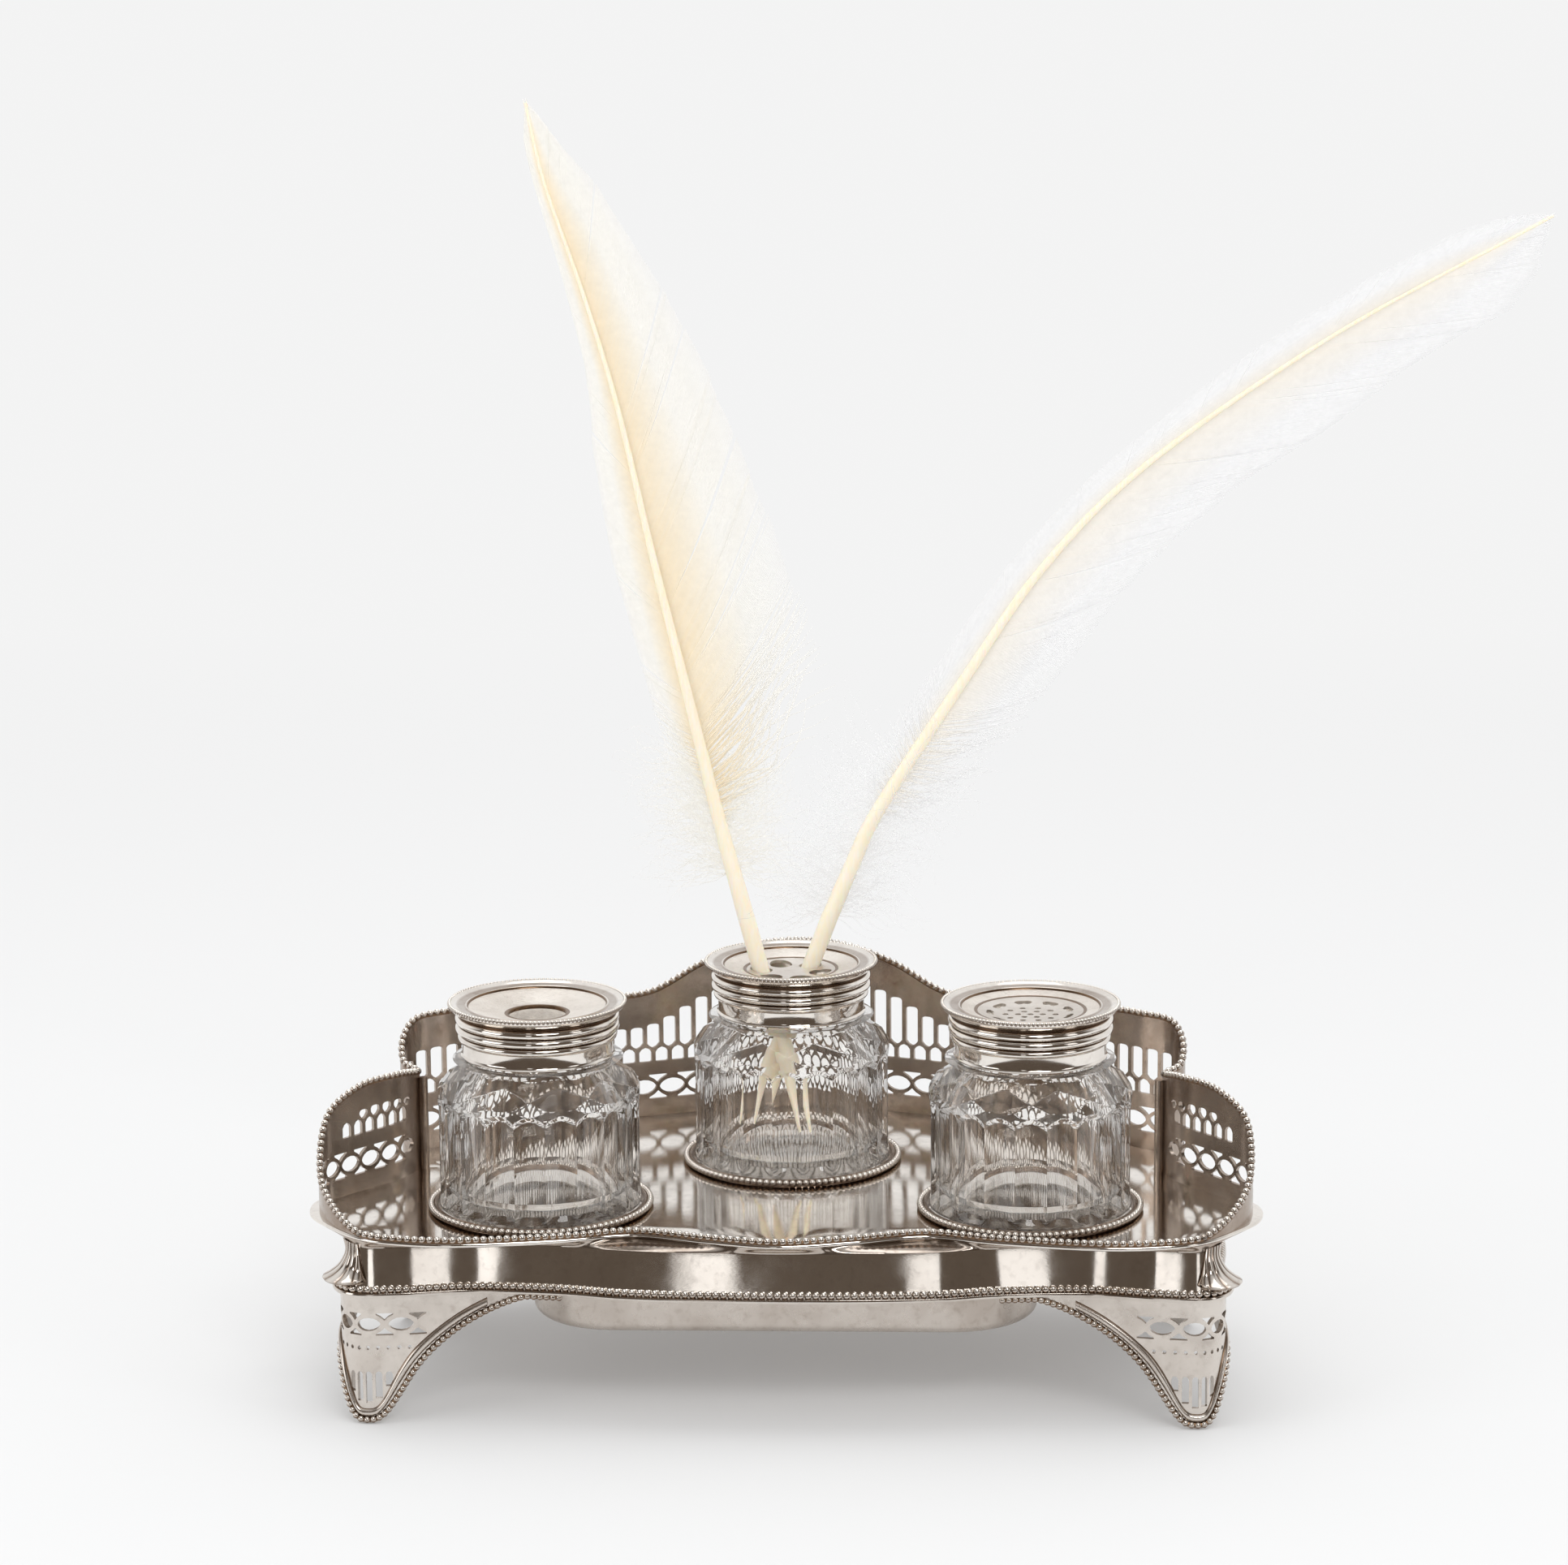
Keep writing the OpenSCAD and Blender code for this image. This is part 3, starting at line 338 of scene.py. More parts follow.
def swept(line, normals, profile):
    """Rows of points: a section carried along a line. The section's points are (inset, z)."""
    prof = np.asarray(profile, float)
    flat = line[:, None, :2] - normals[:, None, :] * prof[None, :, 0, None]
    z = np.broadcast_to(prof[None, :, 1, None], flat.shape[:2] + (1,))
    return np.concatenate([flat, z], -1)


def ring_sweep(line, normals, profile):
    """A closed section carried round a closed line."""
    rows = swept(line, normals, profile)
    return rows.reshape(-1, 3), grid_faces(*rows.shape[:2], True, True)


# Points round a bead, rows of faces from pole to pole, and spacing of beads in radii
BALL_AROUND, BALL_HIGH = 9, 6
BEAD_PITCH = 1.96
# Distance between the points that fill a flat sheet's mesh
PLATE_MESH, PAN_MESH = 12 * MM, 14 * MM
WALL_MESH, FOOT_MESH, CAP_MESH = 2.4 * MM, 2.2 * MM, 1.4 * MM


def bead_rows(centres, radius):
    """A small ball at each centre: rings of points between two poles."""
    around, high = BALL_AROUND, BALL_HIGH
    lat = np.linspace(0, np.pi, high + 1)[1:-1]
    lon = np.linspace(0, 2 * np.pi, around, endpoint=False)
    ring = np.stack([np.sin(lat)[:, None] * np.cos(lon), np.sin(lat)[:, None] * np.sin(lon),
                     np.repeat(np.cos(lat)[:, None], around, 1)], -1).reshape(-1, 3)
    ball = np.vstack([[0, 0, 1], ring, [0, 0, -1]]) * radius
    n, last = len(ball), len(ball) - 1
    body = grid_faces(high - 1, around, close_cols=True) + 1
    k = np.arange(around)
    top = np.stack([0 * k, 1 + k, 1 + (k + 1) % around], 1)
    low = top[:, ::-1].copy()
    low[low > 0] += (high - 2) * around
    low[low == 0] = last
    verts = (centres[:, None, :] + ball[None]).reshape(-1, 3)
    shift = np.arange(len(centres))[:, None, None] * n
    return verts, [(body[None] + shift).reshape(-1, 4),
                   (np.concatenate([top, low])[None] + shift).reshape(-1, 3)]


def bead_shade(verts, radius):
    """Painted shade and tarnish of beads that bead_rows made: clean on top, darker towards
    their undersides where they meet the metal.
    """
    balls = verts.reshape(-1, 2 + BALL_AROUND * (BALL_HIGH - 1), 3)
    z = (balls - balls.mean(1, keepdims=True))[..., 2] / radius
    return np.clip(0.4 - 0.9 * z, 0, 1).ravel()


def bead_line(line, pitch, ring):
    """Centres of beads at an even spacing near the asked pitch along a line or a ring."""
    run = closed(line) if ring else line
    total = lengths(run)[-1]
    count = int(round(total / pitch))
    s = np.arange(count if ring else count + 1) * total / count
    return at_length(run, s)


def beads_along(line, radius, ring=False, pitch=BEAD_PITCH):
    """A row of beads on a line or a ring, and their painted shade and tarnish."""
    beads = bead_rows(bead_line(line, pitch * radius, ring), radius)
    return beads, bead_shade(beads[0], radius)


def inside(points, polygon):
    """Which points lie in a polygon: an odd number of its sides are crossed going right."""
    x, y = points[:, 0][:, None], points[:, 1][:, None]
    a, b = polygon, np.roll(polygon, -1, 0)
    cross = (a[:, 1] > y) != (b[:, 1] > y)
    rise = np.where(b[:, 1] == a[:, 1], 1, b[:, 1] - a[:, 1])
    right = x < (b[:, 0] - a[:, 0]) * (y - a[:, 1]) / rise + a[:, 0]
    return np.logical_xor.reduce(cross & right, 1)


def in_any(points, shapes):
    """Which points lie in any of several small polygons."""
    hit = np.zeros(len(points), bool)
    for shape in shapes:
        near = np.where(((points > shape.min(0)) & (points < shape.max(0))).all(1))[0]
        hit[near] |= inside(points[near], shape)
    return hit


def triangulate(outline, holes, spacing):
    """Triangles that fill an outline round its openings, with points on a grid in between."""
    low, high = outline.min(0), outline.max(0)
    u = np.arange(low[0] + spacing / 2, high[0], spacing)
    v = np.arange(low[1] + spacing / 2, high[1], spacing)
    fill = np.stack(np.meshgrid(u, v), -1).reshape(-1, 2)
    fill = fill[inside(fill, outline)]
    rims = np.vstack([outline] + list(holes)) if len(holes) else outline
    keep = np.ones(len(fill), bool)
    for part in np.array_split(np.arange(len(fill)), max(1, len(fill) // 500)):
        gap = np.abs(fill[part][:, None] - rims[None]).max(2).min(1)
        keep[part] = gap > 0.3 * spacing
    fill = fill[keep]
    fill = fill[~in_any(fill, holes)]
    points, edges, start = [], [], 0
    for loop in [outline] + list(holes):
        k = start + np.arange(len(loop))
        edges.append(np.stack([k, np.roll(k, -1)], 1))
        points.append(loop)
        start += len(loop)
    points.append(fill)
    flat = np.vstack(points)
    out = delaunay_2d_cdt([Vector(p) for p in flat], np.vstack(edges).tolist(), [], 0, 1e-9)
    verts = np.array([tuple(p) for p in out[0]])
    faces = np.array(out[2], int)
    middle = verts[faces].mean(1)
    faces = faces[inside(middle, outline) & ~in_any(middle, holes)]
    a, b, c = (verts[faces[:, k]] for k in range(3))
    turn = (b - a)[:, 0] * (c - a)[:, 1] - (b - a)[:, 1] * (c - a)[:, 0]
    faces[turn < 0] = faces[turn < 0][:, ::-1]
    return verts, faces[np.abs(turn) > 1e-14]


def thicken(front, back, faces):
    """A sheet's two sides, and a wall between them along every edge that one triangle has."""
    sides = np.vstack([faces[:, [0, 1]], faces[:, [1, 2]], faces[:, [2, 0]]])
    key = np.sort(sides, 1)
    _, where, count = np.unique(key[:, 0] * (len(front) + 1) + key[:, 1], return_index=True,
                                return_counts=True)
    rim = sides[where[count == 1]]
    n = len(front)
    walls = np.stack([rim[:, 1], rim[:, 0], rim[:, 0] + n, rim[:, 1] + n], 1)
    return np.vstack([front, back]), [faces, faces[:, ::-1] + n, walls]


def turned(profile, around, centre):
    """A closed profile of (radius, z) turned about an upright axis."""
    prof = np.asarray(profile, float)
    a = np.linspace(0, 2 * np.pi, around, endpoint=False)
    x = prof[None, :, 0] * np.cos(a)[:, None] + centre[0]
    y = prof[None, :, 0] * np.sin(a)[:, None] + centre[1]
    z = np.broadcast_to(prof[None, :, 1], x.shape)
    return np.stack([x, y, z], -1).reshape(-1, 3), grid_faces(around, len(prof), True, True)


# Materials


def node_tree(name):
    """A new material with an empty tree and its output."""
    material = bpy.data.materials.new(name)
    material.use_nodes = True
    tree = material.node_tree
    tree.nodes.clear()
    out = tree.nodes.new("ShaderNodeOutputMaterial")
    return material, tree, out


def add_node(tree, kind, links=None, **settings):
    """A node with its settings, its inputs set to numbers or joined to other nodes' outputs."""
    node = tree.nodes.new(kind)
    for key, value in settings.items():
        setattr(node, key, value)
    for key, value in (links or {}).items():
        if isinstance(value, bpy.types.NodeSocket):
            tree.links.new(value, node.inputs[key])
        else:
            node.inputs[key].default_value = value
    return node


def noise(tree, coords, scale, detail=4.0, rough=0.55):
    """Even noise on the object's own coordinates."""
    return add_node(tree, "ShaderNodeTexNoise", {
        "Vector": coords, "Scale": scale, "Detail": detail, "Roughness": rough}).outputs["Fac"]


def ramp(tree, value, low, high, out_low=0.0, out_high=1.0):
    """A number brought from one range to another and kept inside it."""
    return add_node(tree, "ShaderNodeMapRange", {
        "Value": value, "From Min": low, "From Max": high,
        "To Min": out_low, "To Max": out_high}).outputs["Result"]


def math_node(tree, operation, a, b=0.0):
    """One sum on two numbers."""
    return add_node(tree, "ShaderNodeMath", {0: a, 1: b}, operation=operation).outputs[0]


def mix_colour(tree, factor, a, b):
    """A colour between two others."""
    node = add_node(tree, "ShaderNodeMix", {0: factor, 6: a, 7: b}, data_type="RGBA")
    return node.outputs[2]


def mix_shader(tree, factor, a, b):
    """A share of one shader and the rest of another."""
    return add_node(tree, "ShaderNodeMixShader", {0: factor, 1: a.outputs[0], 2: b.outputs[0]})


# Noises on the metal, in waves over a metre
CLOUDS, SPECKS, WEAR, SCRATCHES, DENTS, GRAINS = 45.0, 420.0, 130.0, 900.0, 38.0, 1500.0
# Tarnish that clouds and specks add, and roughness that tarnish and grain add
CLOUD_DIRT, SPECK_DIRT = 0.22, 0.12
DIRT_ROUGH, GRAIN_ROUGH = 0.18, 0.45


def silver_material(name, look, dull=0.0, wave=0.25, polish=1.0):
    """Polished silver: soft waves, fine scratches, brown tarnish in clouds, and darkening in
    hollows and under beads that is partly tarnish and partly painted shade. Dull is how much
    tarnish there is everywhere, wave how uneven the sheet is, polish how rough it is against
    the look's own roughness. A point attribute adds that tarnish and painted shade, and the
    attribute grain gives a matted, granular face."""
    material, tree, out = node_tree(name)
    at = tree.nodes.new("ShaderNodeTexCoord").outputs["Object"]
    tarnish_and_shade = add_node(tree, "ShaderNodeAttribute", attribute_name="tarnish_and_shade").outputs["Fac"]
    grain = add_node(tree, "ShaderNodeAttribute", attribute_name="grain").outputs["Fac"]
    cloud = ramp(tree, noise(tree, at, CLOUDS), 0.45, 0.75)
    speck = ramp(tree, noise(tree, at, SPECKS, 3.0), 0.52, 0.75)
    dirt_and_shade = math_node(tree, "ADD", math_node(tree, "MULTIPLY", cloud, CLOUD_DIRT),
                     math_node(tree, "MULTIPLY", speck, SPECK_DIRT))
    # tarnish and painted shade from the point attribute, and the even tarnish, join the clouds and
    # specks
    dirt_and_shade = math_node(tree, "ADD", dirt_and_shade, math_node(tree, "ADD", tarnish_and_shade, dull))
    dirt_and_shade = ramp(tree, dirt_and_shade, 0.0, 1.0)
    colour = mix_colour(tree, dirt_and_shade, (*look.colour, 1), (*look.tarnish, 1))
    base = look.roughness * polish
    rough = math_node(tree, "ADD", math_node(tree, "MULTIPLY", dirt_and_shade, DIRT_ROUGH),
                      ramp(tree, noise(tree, at, WEAR), 0.3, 0.7, base * 0.6, base * 1.4))
    rough = math_node(tree, "ADD", rough, math_node(tree, "MULTIPLY", grain, GRAIN_ROUGH))
    lines = add_node(tree, "ShaderNodeTexNoise", {
        "Vector": add_node(tree, "ShaderNodeMapping", {
            "Vector": at, "Scale": (1.0, 9.0, 3.0)}).outputs[0],
        "Scale": SCRATCHES, "Detail": 3.0}).outputs["Fac"]
    bump = add_node(tree, "ShaderNodeBump", {
        "Height": noise(tree, at, DENTS, 2.0), "Strength": wave, "Distance": 1.2 * MM})
    bump = add_node(tree, "ShaderNodeBump", {
        "Height": lines, "Strength": 0.1, "Distance": 0.03 * MM, "Normal": bump.outputs[0]})
    bump = add_node(tree, "ShaderNodeBump", {
        "Height": noise(tree, at, GRAINS, 1.0), "Strength": grain, "Distance": 0.25 * MM,
        "Normal": bump.outputs[0]})
    shader = add_node(tree, "ShaderNodeBsdfPrincipled", {
        "Base Color": colour, "Metallic": 1.0, "Roughness": rough, "Normal": bump.outputs[0]})
    tree.links.new(shader.outputs[0], out.inputs[0])
    return material


# Refraction by which the glass mirrors, and the shares of that outside and inside the glass
MIRROR_IOR = 1.52
MIRROR_OUT, MIRROR_IN = 1.2, 0.25
# Share of trapped light that passes
PASSED = 0.7


def glass_material(name, look):
    """Clear glass: it mirrors as glass does and bends light a little less, so that what stands
    behind it can be made out. Light that it would trap, and its shadow's, mostly passes."""
    material, tree, out = node_tree(name)
    at = tree.nodes.new("ShaderNodeTexCoord").outputs["Object"]
    bump = add_node(tree, "ShaderNodeBump", {
        "Height": noise(tree, at, 90.0, 2.0), "Strength": 0.05, "Distance": 0.5 * MM}).outputs[0]
    bent = add_node(tree, "ShaderNodeBsdfRefraction", {
        "Color": (*look.colour, 1), "Roughness": 0.0, "IOR": look.ior, "Normal": bump})
    mirror = add_node(tree, "ShaderNodeBsdfAnisotropic", {"Roughness": 0.0, "Normal": bump})
    edge = add_node(tree, "ShaderNodeFresnel", {"IOR": MIRROR_IOR, "Normal": bump}).outputs[0]
    inside_face = tree.nodes.new("ShaderNodeNewGeometry").outputs["Backfacing"]
    share = math_node(tree, "MULTIPLY", edge,
                      ramp(tree, inside_face, 0.0, 1.0, MIRROR_OUT, MIRROR_IN))
    trapped = add_node(tree, "ShaderNodeFresnel", {"IOR": look.ior, "Normal": bump}).outputs[0]
    body = mix_shader(tree, share, bent, mirror)
    through = add_node(tree, "ShaderNodeBsdfTransparent", {"Color": (0.97, 0.965, 0.96, 1)})
    path = math_node(tree, "MAXIMUM", ramp(tree, trapped, 0.9, 1.0, 0.0, PASSED),
                     tree.nodes.new("ShaderNodeLightPath").outputs["Is Shadow Ray"])
    both = mix_shader(tree, path, body, through)
    tree.links.new(both.outputs[0], out.inputs[0])
    return material


# How much the barbs are shaded, shine through and glow with painted light, and how clear the
# thinnest are
BARB_SHADE, BARB_THROUGH, BARB_GLOW, BARB_CLEAR = 0.1, 0.45, 0.18, 0.92


def feather_material(name, colour, root, clear):
    """Barbs: coloured from the shaft outwards, partly clear, letting light shine through, and
    lifted by a faint painted glow.
    The attribute across runs from 0 at the shaft to 1 at the vane's edge."""
    material, tree, out = node_tree(name)
    at = tree.nodes.new("ShaderNodeTexCoord").outputs["Object"]
    across = add_node(tree, "ShaderNodeAttribute", attribute_name="across").outputs["Fac"]
    streak = add_node(tree, "ShaderNodeAttribute", attribute_name="streak").outputs["Fac"]
    tint = mix_colour(tree, ramp(tree, across, 0.0, 0.6), (*root, 1), (*colour, 1))
    tint = mix_colour(tree, ramp(tree, streak, 0.0, 1.0, 0.0, 0.25), tint, (1, 1, 1, 1))
    tint = mix_colour(tree, BARB_SHADE, tint, (0, 0, 0, 1))
    diffuse = add_node(tree, "ShaderNodeBsdfDiffuse", {"Color": tint, "Roughness": 0.4})
    shine = add_node(tree, "ShaderNodeBsdfTranslucent", {"Color": tint})
    barb = mix_shader(tree, BARB_THROUGH, diffuse, shine)
    # painted light: the barbs glow faintly though they are no lamp
    glow = add_node(tree, "ShaderNodeEmission", {"Color": tint, "Strength": BARB_GLOW})
    barb = add_node(tree, "ShaderNodeAddShader", {0: barb.outputs[0], 1: glow.outputs[0]})
    gap = math_node(tree, "ADD", ramp(tree, across, 0.1, 1.0, 0.0, clear),
                    ramp(tree, noise(tree, at, 160.0), 0.35, 0.7, 0.0, 0.15))
    hole = tree.nodes.new("ShaderNodeBsdfTransparent")
    both = mix_shader(tree, ramp(tree, gap, 0.0, 1.0, 0.0, BARB_CLEAR), barb, hole)
    tree.links.new(both.outputs[0], out.inputs[0])
    return material


def horn_material(name, look):
    """A feather's shaft: warm, waxy and a little see-through, paler in streaks."""
    material, tree, out = node_tree(name)
    at = tree.nodes.new("ShaderNodeTexCoord").outputs["Object"]
    fibre = add_node(tree, "ShaderNodeTexNoise", {
        "Vector": add_node(tree, "ShaderNodeMapping", {
            "Vector": at, "Scale": (6.0, 6.0, 0.6)}).outputs[0], "Scale": 260.0}).outputs["Fac"]
    tint = mix_colour(tree, ramp(tree, fibre, 0.35, 0.7), (*look.horn, 1), (0.97, 0.90, 0.78, 1))
    shader = add_node(tree, "ShaderNodeBsdfPrincipled", {
        "Base Color": tint, "Roughness": 0.35, "Subsurface Weight": 0.35,
        "Subsurface Scale": 2 * MM})
    tree.links.new(shader.outputs[0], out.inputs[0])
    return material


def paint_nodes(material, *names):
    """Gives carried-over solids a material."""
    for name in names:
        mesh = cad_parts[name].data
        mesh.materials.clear()
        mesh.materials.append(material)


def shared(name, maker, *args, **settings):
    """A material that several operators use, made once."""
    return bpy.data.materials.get(name) or maker(name, *args, **settings)


# Shapes that several operators use


def joined(parts):
    """Several (points, faces) parts as one, with each part's faces shifted past the last."""
    verts, threes, fours, start = [], [], [], 0
    for points, faces in parts:
        for group in faces if isinstance(faces, list) else [faces]:
            (threes if group.shape[1] == 3 else fours).append(group + start)
        verts.append(points)
        start += len(points)
    faces = [np.vstack(g) for g in (fours, threes) if g]
    return np.vstack(verts), faces


def frames(line, hint):
    """Unit tangents of a line, and the part of a hint vector that is square to them."""
    t = unit(np.gradient(line, axis=0))
    return t, unit(hint - t * (t * hint).sum(1)[:, None])


def tube(line, hint, radius, sides=10):
    """A round wire: circles square to a line, closed by a point at each end."""
    t, side = frames(line, np.broadcast_to(hint, line.shape))
    up = np.cross(t, side)
    a = np.linspace(0, 2 * np.pi, sides, endpoint=False)
    r = np.broadcast_to(radius, len(line))[:, None, None]
    ring = line[:, None] + r * (side[:, None] * np.cos(a)[:, None]
                                + up[:, None] * np.sin(a)[:, None])
    n = len(line)
    verts = np.vstack([ring.reshape(-1, 3), line[:1], line[-1:]])
    k = np.arange(sides)
    start = np.stack([np.full(sides, n * sides), (k + 1) % sides, k], 1)
    end = np.stack([np.full(sides, n * sides + 1), (n - 1) * sides + k,
                    (n - 1) * sides + (k + 1) % sides], 1)
    return verts, [grid_faces(n, sides, close_cols=True)[:, ::-1], np.vstack([start, end])]


def strip(outline, holes, spacing, place, thickness):
    """A pierced sheet: an outline and its openings in (length, height), laid on a curved wall.
    Place gives the middle and the outward normal for each length and height."""
    flat, faces = triangulate(outline, holes, spacing)
    middle, normal = place(flat)
    half = normal * thickness / 2
    return thicken(middle + half, middle - half, faces)


def wall_place(along, path, normals, ground=0.0):
    """Lays (length, height over the ground) on an upright wall over a plan path."""

    def place(flat):
        """The wall's own point and outward normal at a length, at the given height."""
        xy, n = (between(flat[:, 0], along, line) for line in (path, normals))
        return with_z(xy, flat[:, 1] + ground), with_z(unit(n), 0.0)

    return place


def polygon(cx, cy, points):
    """A small outline in millimetres, moved to a centre in metres."""
    return np.asarray(points, float) * MM + (cx, cy)


def oval(cx, cy, width, height, points=12):
    """An ellipse with the given full width and height."""
    a = np.linspace(0, 2 * np.pi, points, endpoint=False)
    return np.stack([cx + width / 2 * np.cos(a), cy + height / 2 * np.sin(a)], 1)


# The hollow band: its height, its sheet, how far it leans in, and the share of its height
# from which it turns to the plate's edge
COVE_H = 13.9 * MM
COVE_T = 1.0 * MM
COVE_LEAN = 3 * MM
COVE_TURN = 0.86
COVE_FOOT = BASE[:, :2] - BASE_N * 2.8 * MM
COVE_HEAD = EDGE[:, :2] - EDGE_N * 0.6 * MM


def cove_point(index, f, bow):
    """The hollow band's outer face at a place along the edge and a share f of its height, and
    its normal. It leans in from the foot and is drawn in by a parabola, and near its top it
    turns by a smooth step to the plate's edge."""
    k = np.arange(len(BASE) + 1)
    foot, head, normal = (between(index % len(BASE), k, closed(line))
                          for line in (COVE_FOOT, COVE_HEAD, BASE_N))
    g = np.clip((f - COVE_TURN) / (1 - COVE_TURN), 0, 1)[..., None]
    turn = g * g * (3 - 2 * g)
    lean = normal * (COVE_LEAN * f + bow * 4 * f * (1 - f))[..., None]
    flat = (foot - lean) * (1 - turn) + head * turn
    return np.concatenate([flat, (MOULD_TOP + COVE_H * f)[..., None]], -1), normal


class INKSTAND_OT_tray(bpy.types.Operator):
    """Makes the polished plate, the hollow band and the moulding under it"""

    bl_idname = "inkstand.tray"
    bl_label = "Tray"

    def execute(self, context):
        sizes, look = context.scene.inkstand_plan, context.scene.inkstand_silver
        polish = shared("polished_silver", silver_material, look, dull=0.06, wave=0.05, polish=0.8)
        band = shared("band_silver", silver_material, look, dull=0.02, wave=0.12)
        lip = np.array([(0.6, 0), (0.25, -0.1), (0.06, -0.35), (0, -0.6), (0.06, -0.85),
                        (0.25, -1.1), (0.6, -1.2)]) * MM
        rim = swept(EDGE, EDGE_N, lip)
        top, faces = triangulate(rim[:, 0, :2], [], PLATE_MESH)
        add_piece("plate_sheet", *joined([
            (rim.reshape(-1, 3), grid_faces(len(EDGE), len(lip), close_rows=True)),
            (with_z(top, 0.0), faces), (with_z(top, lip[-1, 1]), faces[:, ::-1])]),
            polish, "stand", replaces=["top_plate"], weld=True, outside=True)
        f = np.r_[np.linspace(0, COVE_TURN - 0.02, 8), np.linspace(COVE_TURN, 1, 7)]
        index = np.arange(len(BASE), dtype=float)[:, None] + 0 * f
        outer, normal = cove_point(index, np.broadcast_to(f, index.shape), sizes.cove_bow)
        inner = outer - np.concatenate([normal, 0 * normal[..., :1]], -1) * COVE_T
        loop = np.concatenate([outer, inner[:, ::-1]], 1)
        # painted shade: the band's top share, where it turns in under the plate's beaded edge, is
        # darkened
        dark = np.tile(np.r_[0.55 * (f >= COVE_TURN), 0 * f], len(BASE))
        add_piece("hollow_band", loop.reshape(-1, 3), grid_faces(len(BASE), 2 * len(f), True, True),
                  band, "stand", replaces=["cove_band"], outside=True, values={"tarnish_and_shade": dark})
        high, low = MOULD_TOP / MM, MOULD_LOW / MM
        edge = [(8, high), (0.55, high), (0.2, high - 0.1), (0.03, high - 0.4), (0.0, high - 0.65),
                (0.03, low + 0.4), (0.2, low + 0.1), (0.55, low), (8, low)]
        groove_shade = shared("moulding_silver", silver_material, look, dull=0.3, wave=0.1)
        add_piece("moulding_ring", *ring_sweep(BASE, BASE_N, np.array(edge) * MM), groove_shade, "stand",
                  replaces=["base_moulding"], outside=True)
        # the pan's heavy even tarnish is partly painted shade: it darkens the pan that lies in the
        # tray's shadow
        tin = shared("pan_silver", silver_material, look, dull=0.4, wave=0.03, polish=3.0)
        add_piece("pan_sheet", *self.pan(), tin, "stand", replaces=["under_pan"], outside=True)
        return {"FINISHED"}

    def pan(self):
        """A shallow pan with round corners under a flat sheet that closes the tray: a wall that
        leans in and rounds into the bottom, a bottom plate, and the sheet round them."""
        half_x, half_y, mid_y, corner = 49, 25.5, 24, 25.9
        depth, bend, lean, sheet_t, floor_t = 14, 3, 1.2, 1.0, 0.9
        a = np.radians(np.arange(0, 360, 5) + 2.5)
        side = np.stack([np.sign(np.cos(a)) * half_x, mid_y + np.sign(np.sin(a)) * half_y], 1)
        ring = closed((side + corner * np.stack([np.cos(a), np.sin(a)], 1)) * MM)
        ring = at_length(ring, np.linspace(0, 1, 241)[:-1] * lengths(ring)[-1])
        normal = outward(ring)
        top = MOULD_LOW / MM
        q = np.radians(np.linspace(0, 90, 8))
        outer = [(0.0, top - sheet_t)] + list(zip(
            lean + bend * (1 - np.cos(q)), top - (depth - bend) - bend * np.sin(q)))
        inner = [(r + 0.8, z + floor_t) for r, z in outer[::-1]]
        wall = ring_sweep(ring, normal, np.array(outer + inner) * MM)
        flat, faces = triangulate(ring - normal * 4.1 * MM, [], PAN_MESH)
        floor = thicken(with_z(flat, MOULD_LOW - (depth - floor_t) * MM),
                        with_z(flat, MOULD_LOW - depth * MM), faces)
        flat, faces = triangulate(BASE[:, :2] - BASE_N * 4 * MM, [ring - normal * 0.9 * MM],
                                  PAN_MESH)
        sheet = thicken(with_z(flat, MOULD_LOW), with_z(flat, MOULD_LOW - sheet_t * MM), faces)
        return joined([wall, floor, sheet])


# First and last place on the plate's edge of each wall of the gallery
SPANS = {"left": (0, CLIMB), "right": (CUSP - CLIMB, CUSP), "back": (CUSP, len(EDGE))}
# Height of a beaded wire's middle over what it lies on, and the lower one's inset
WIRE_UP, WIRE_IN = 0.85 * MM, 1.25 * MM
# A wire's core in bead radii: how thick it is, and how far it lies behind the beads
CORE_R, CORE_BACK = 0.72, 0.35
FOOT_CORE_R, FOOT_CORE_BACK = 0.85, 0.45


def rim_path(start, end):
    """Middle of the beaded wire on the wall's edge, between two places on the plate's edge."""
    z = np.maximum(0, EDGE[:, 2]) + WIRE_UP
    return stretch(with_z(WALL_MID, z), start, end)


class INKSTAND_OT_beads(bpy.types.Operator):
    """Makes the beaded wires on the plate, the gallery and the moulding"""

    bl_idname = "inkstand.beads"
    bl_label = "Beaded wires"

    def execute(self, context):
        sizes, look = context.scene.inkstand_plan, context.scene.inkstand_silver
        metal = shared("bead_silver", silver_material, look, dull=0.02, wave=0.0)
        r = sizes.bead_radius
        runs = {"front_bead": (CLIMB, CUSP - CLIMB)}
        runs.update({"border_" + side: span for side, span in SPANS.items()})
        for node, (start, end) in runs.items():
            line = rim_path(start, end)
            core = tube(line - (0, 0, CORE_BACK * r), (0.0, 0.0, 1.0), CORE_R * r)
            beads, tarnish_and_shade = beads_along(line, r)
            # painted shade: the wire's core behind the beads is made fully dark, so the gaps
            # between the beads read as shadow
            add_piece(node + "s", *joined([core, beads]), metal, "stand", replaces=[node],
                      values={"tarnish_and_shade": np.r_[np.ones(len(core[0])), tarnish_and_shade]})
        line = with_z(BASE[:, :2] - BASE_N * WIRE_IN, MOULD_TOP + WIRE_UP)
        beads, tarnish_and_shade = beads_along(line, r, ring=True)
        add_piece("base_beads", *beads, metal, "stand", replaces=["base_bead"],
                  values={"tarnish_and_shade": tarnish_and_shade})
        return {"FINISHED"}


